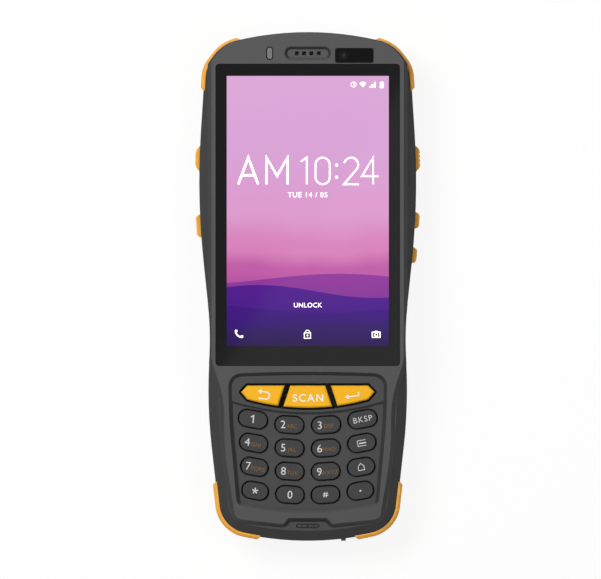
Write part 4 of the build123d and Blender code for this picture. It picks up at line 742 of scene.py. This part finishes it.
def make_microphone_grille():
    """Gauze strip in the microphone slot, on a dark seal whose rim round the strip is also painted shade
    of the slot's gap; dark dots on the strip are painted shade for its holes.
    """
    middle = (0, MIC_Y)
    floor = Z_DECK - MIC_FLOOR
    printed("microphone_seal", [patch(slot(*SEAL_SIZE))], paint["dark_ink"], "root", floor, middle,
            thick=SEAL_THICK)
    printed("microphone_grille", [patch(slot(*GRILLE_SIZE))], paint["gauze"], "root", floor + SEAL_THICK,
            middle, thick=GRILLE_THICK)
    # painted shade: dark dots stand for the grille's holes
    holes = [dot(x, 0, radius, sides=14) for x, radius in GRILLE_HOLES]
    printed("microphone_hole_shadow_dots", holes, paint["dark_ink"], "root", floor + SEAL_THICK + GRILLE_THICK, middle,
            thick=FILM)


def make_step_shadow():
    """Painted shadow: a dark line along the upper edge of the step between the function keys and the
    number keys, standing for the shade at the step.
    """
    across = [STEP_HALF * (i / 12 - 1) for i in range(25)]
    curve = [(x, STEP_Y + LINE_SHIFT + STEP_SAG * (x / STEP_HALF) ** 2) for x in across]
    printed("field_bead", [ribbon(curve, LINE_WIDTH)], paint["bead"], "root", Z_DECK - LINE_DEPTH)


def make_tab_face():
    """Paler moulded face on the pull tab of the port flap."""
    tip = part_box("usb_flap")[0].y / MM + TAB_MARGIN
    face = patch(frame_points(TAB_LEFT, TAB_RIGHT, tip, TAB_END))
    printed("flap_tab_face", [face], paint["tab"], "usb_flap", TAB_TOP)


def make_sensor_corners():
    """Fills the sharp corners of the sensor window's seat, so that the window looks round-cornered."""
    low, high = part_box("sensor_window")
    corners = []
    for x, y, start in ((high.x, high.y, 0), (low.x, high.y, 90), (low.x, low.y, 180),
                        (high.x, low.y, 270)):
        tip = Vector((x, y)) / MM
        slant = radians(start + 45)
        way = Vector((cos(slant), sin(slant))) * SENSOR_CORNER * 2 ** 0.5
        rounding = arc(tip.x - way.x, tip.y - way.y, SENSOR_CORNER, start, start + 90, 8)
        corners.append(patch([tip] + rounding))
    printed("sensor_corners", corners, paint["housing"], "root", high.z / MM, thick=CORNER_THICK)


def make_front_lens():
    """Lens ring on the sensor window, over the front camera."""
    rings = [hoop(radius=1.16, width=0.16, steps=32), dot(0, 0, radius=0.62, sides=24)]
    printed("front_camera_ring", rings, paint["ring"], "root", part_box("sensor_window")[1].z / MM,
            (FRONT_LENS_X, centre("sensor_window")[1]), thick=FILM)


def make_rear_lens():
    """Lens ring, lens and flash face on the rear camera window."""
    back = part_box("rear_camera_window")[0].z / MM
    y = centre("rear_camera_window")[1]
    lens = (centre("rear_camera")[0], y)
    rings = [hoop(radius=3.0, width=0.5, steps=40), hoop(radius=2.0, width=0.22, steps=32)]
    printed("rear_camera_ring", rings, paint["steel"], "root", back, lens, side="back")
    pupil = dot(0, 0, radius=1.3, sides=28)
    printed("rear_camera_lens", [pupil], paint["lens"], "root", back, lens, side="back")
    flash = patch(frame_points(-FLASH_HALF, FLASH_HALF, -FLASH_HALF, FLASH_HALF))
    place = (centre("flash_lens")[0], y)
    printed("flash_face", [flash], paint["diffuser"], "root", back, place, side="back")


def make_scan_lens():
    """Lens ring and lamp face on the scan window, in the head end."""
    low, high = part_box("scan_window")
    face, rise = high.y / MM, (low.z + high.z) / 2 / MM
    rings = [hoop(radius=1.9, width=0.25, steps=32), dot(0, 0, radius=1.2, sides=26)]
    printed("scan_ring", rings, paint["ring"], "root", face, (SCAN_LENS_X, rise), side="head")
    lamp_face = dot(0, 0, radius=1.0, sides=22)
    printed("scan_lamp", [lamp_face], paint["diffuser"], "root", face, (SCAN_LAMP_X, rise), side="head")


def make_speaker_gauze():
    """Strip of gauze inside each of the speaker's slots."""
    strips = []
    for index in range(SOUND_SLOTS):
        y = (index - (SOUND_SLOTS - 1) / 2) * SOUND_PITCH
        strips.append(patch(frame_points(-SOUND_HALF_LENGTH, SOUND_HALF_LENGTH, y - SOUND_HALF_WIDTH,
                                         y + SOUND_HALF_WIDTH)))
    printed("speaker_gauze", strips, paint["gauze"], "root", GAUZE_LEVEL, centre("speaker"),
            thick=GAUZE_THICK, side="back")


# ---------------------------------------------------------------- the whole scene
bpy.context.scene.view_settings.view_transform = "Standard"
make_camera()
make_world()
make_floor()
make_lamps()
dress_nodes()
make_screen_signs(make_picture())
make_number_legends()
make_symbol_legends()
make_function_legends()
make_microphone_grille()
make_step_shadow()
make_tab_face()
make_sensor_corners()
make_front_lens()
make_rear_lens()
make_scan_lens()
make_speaker_gauze()
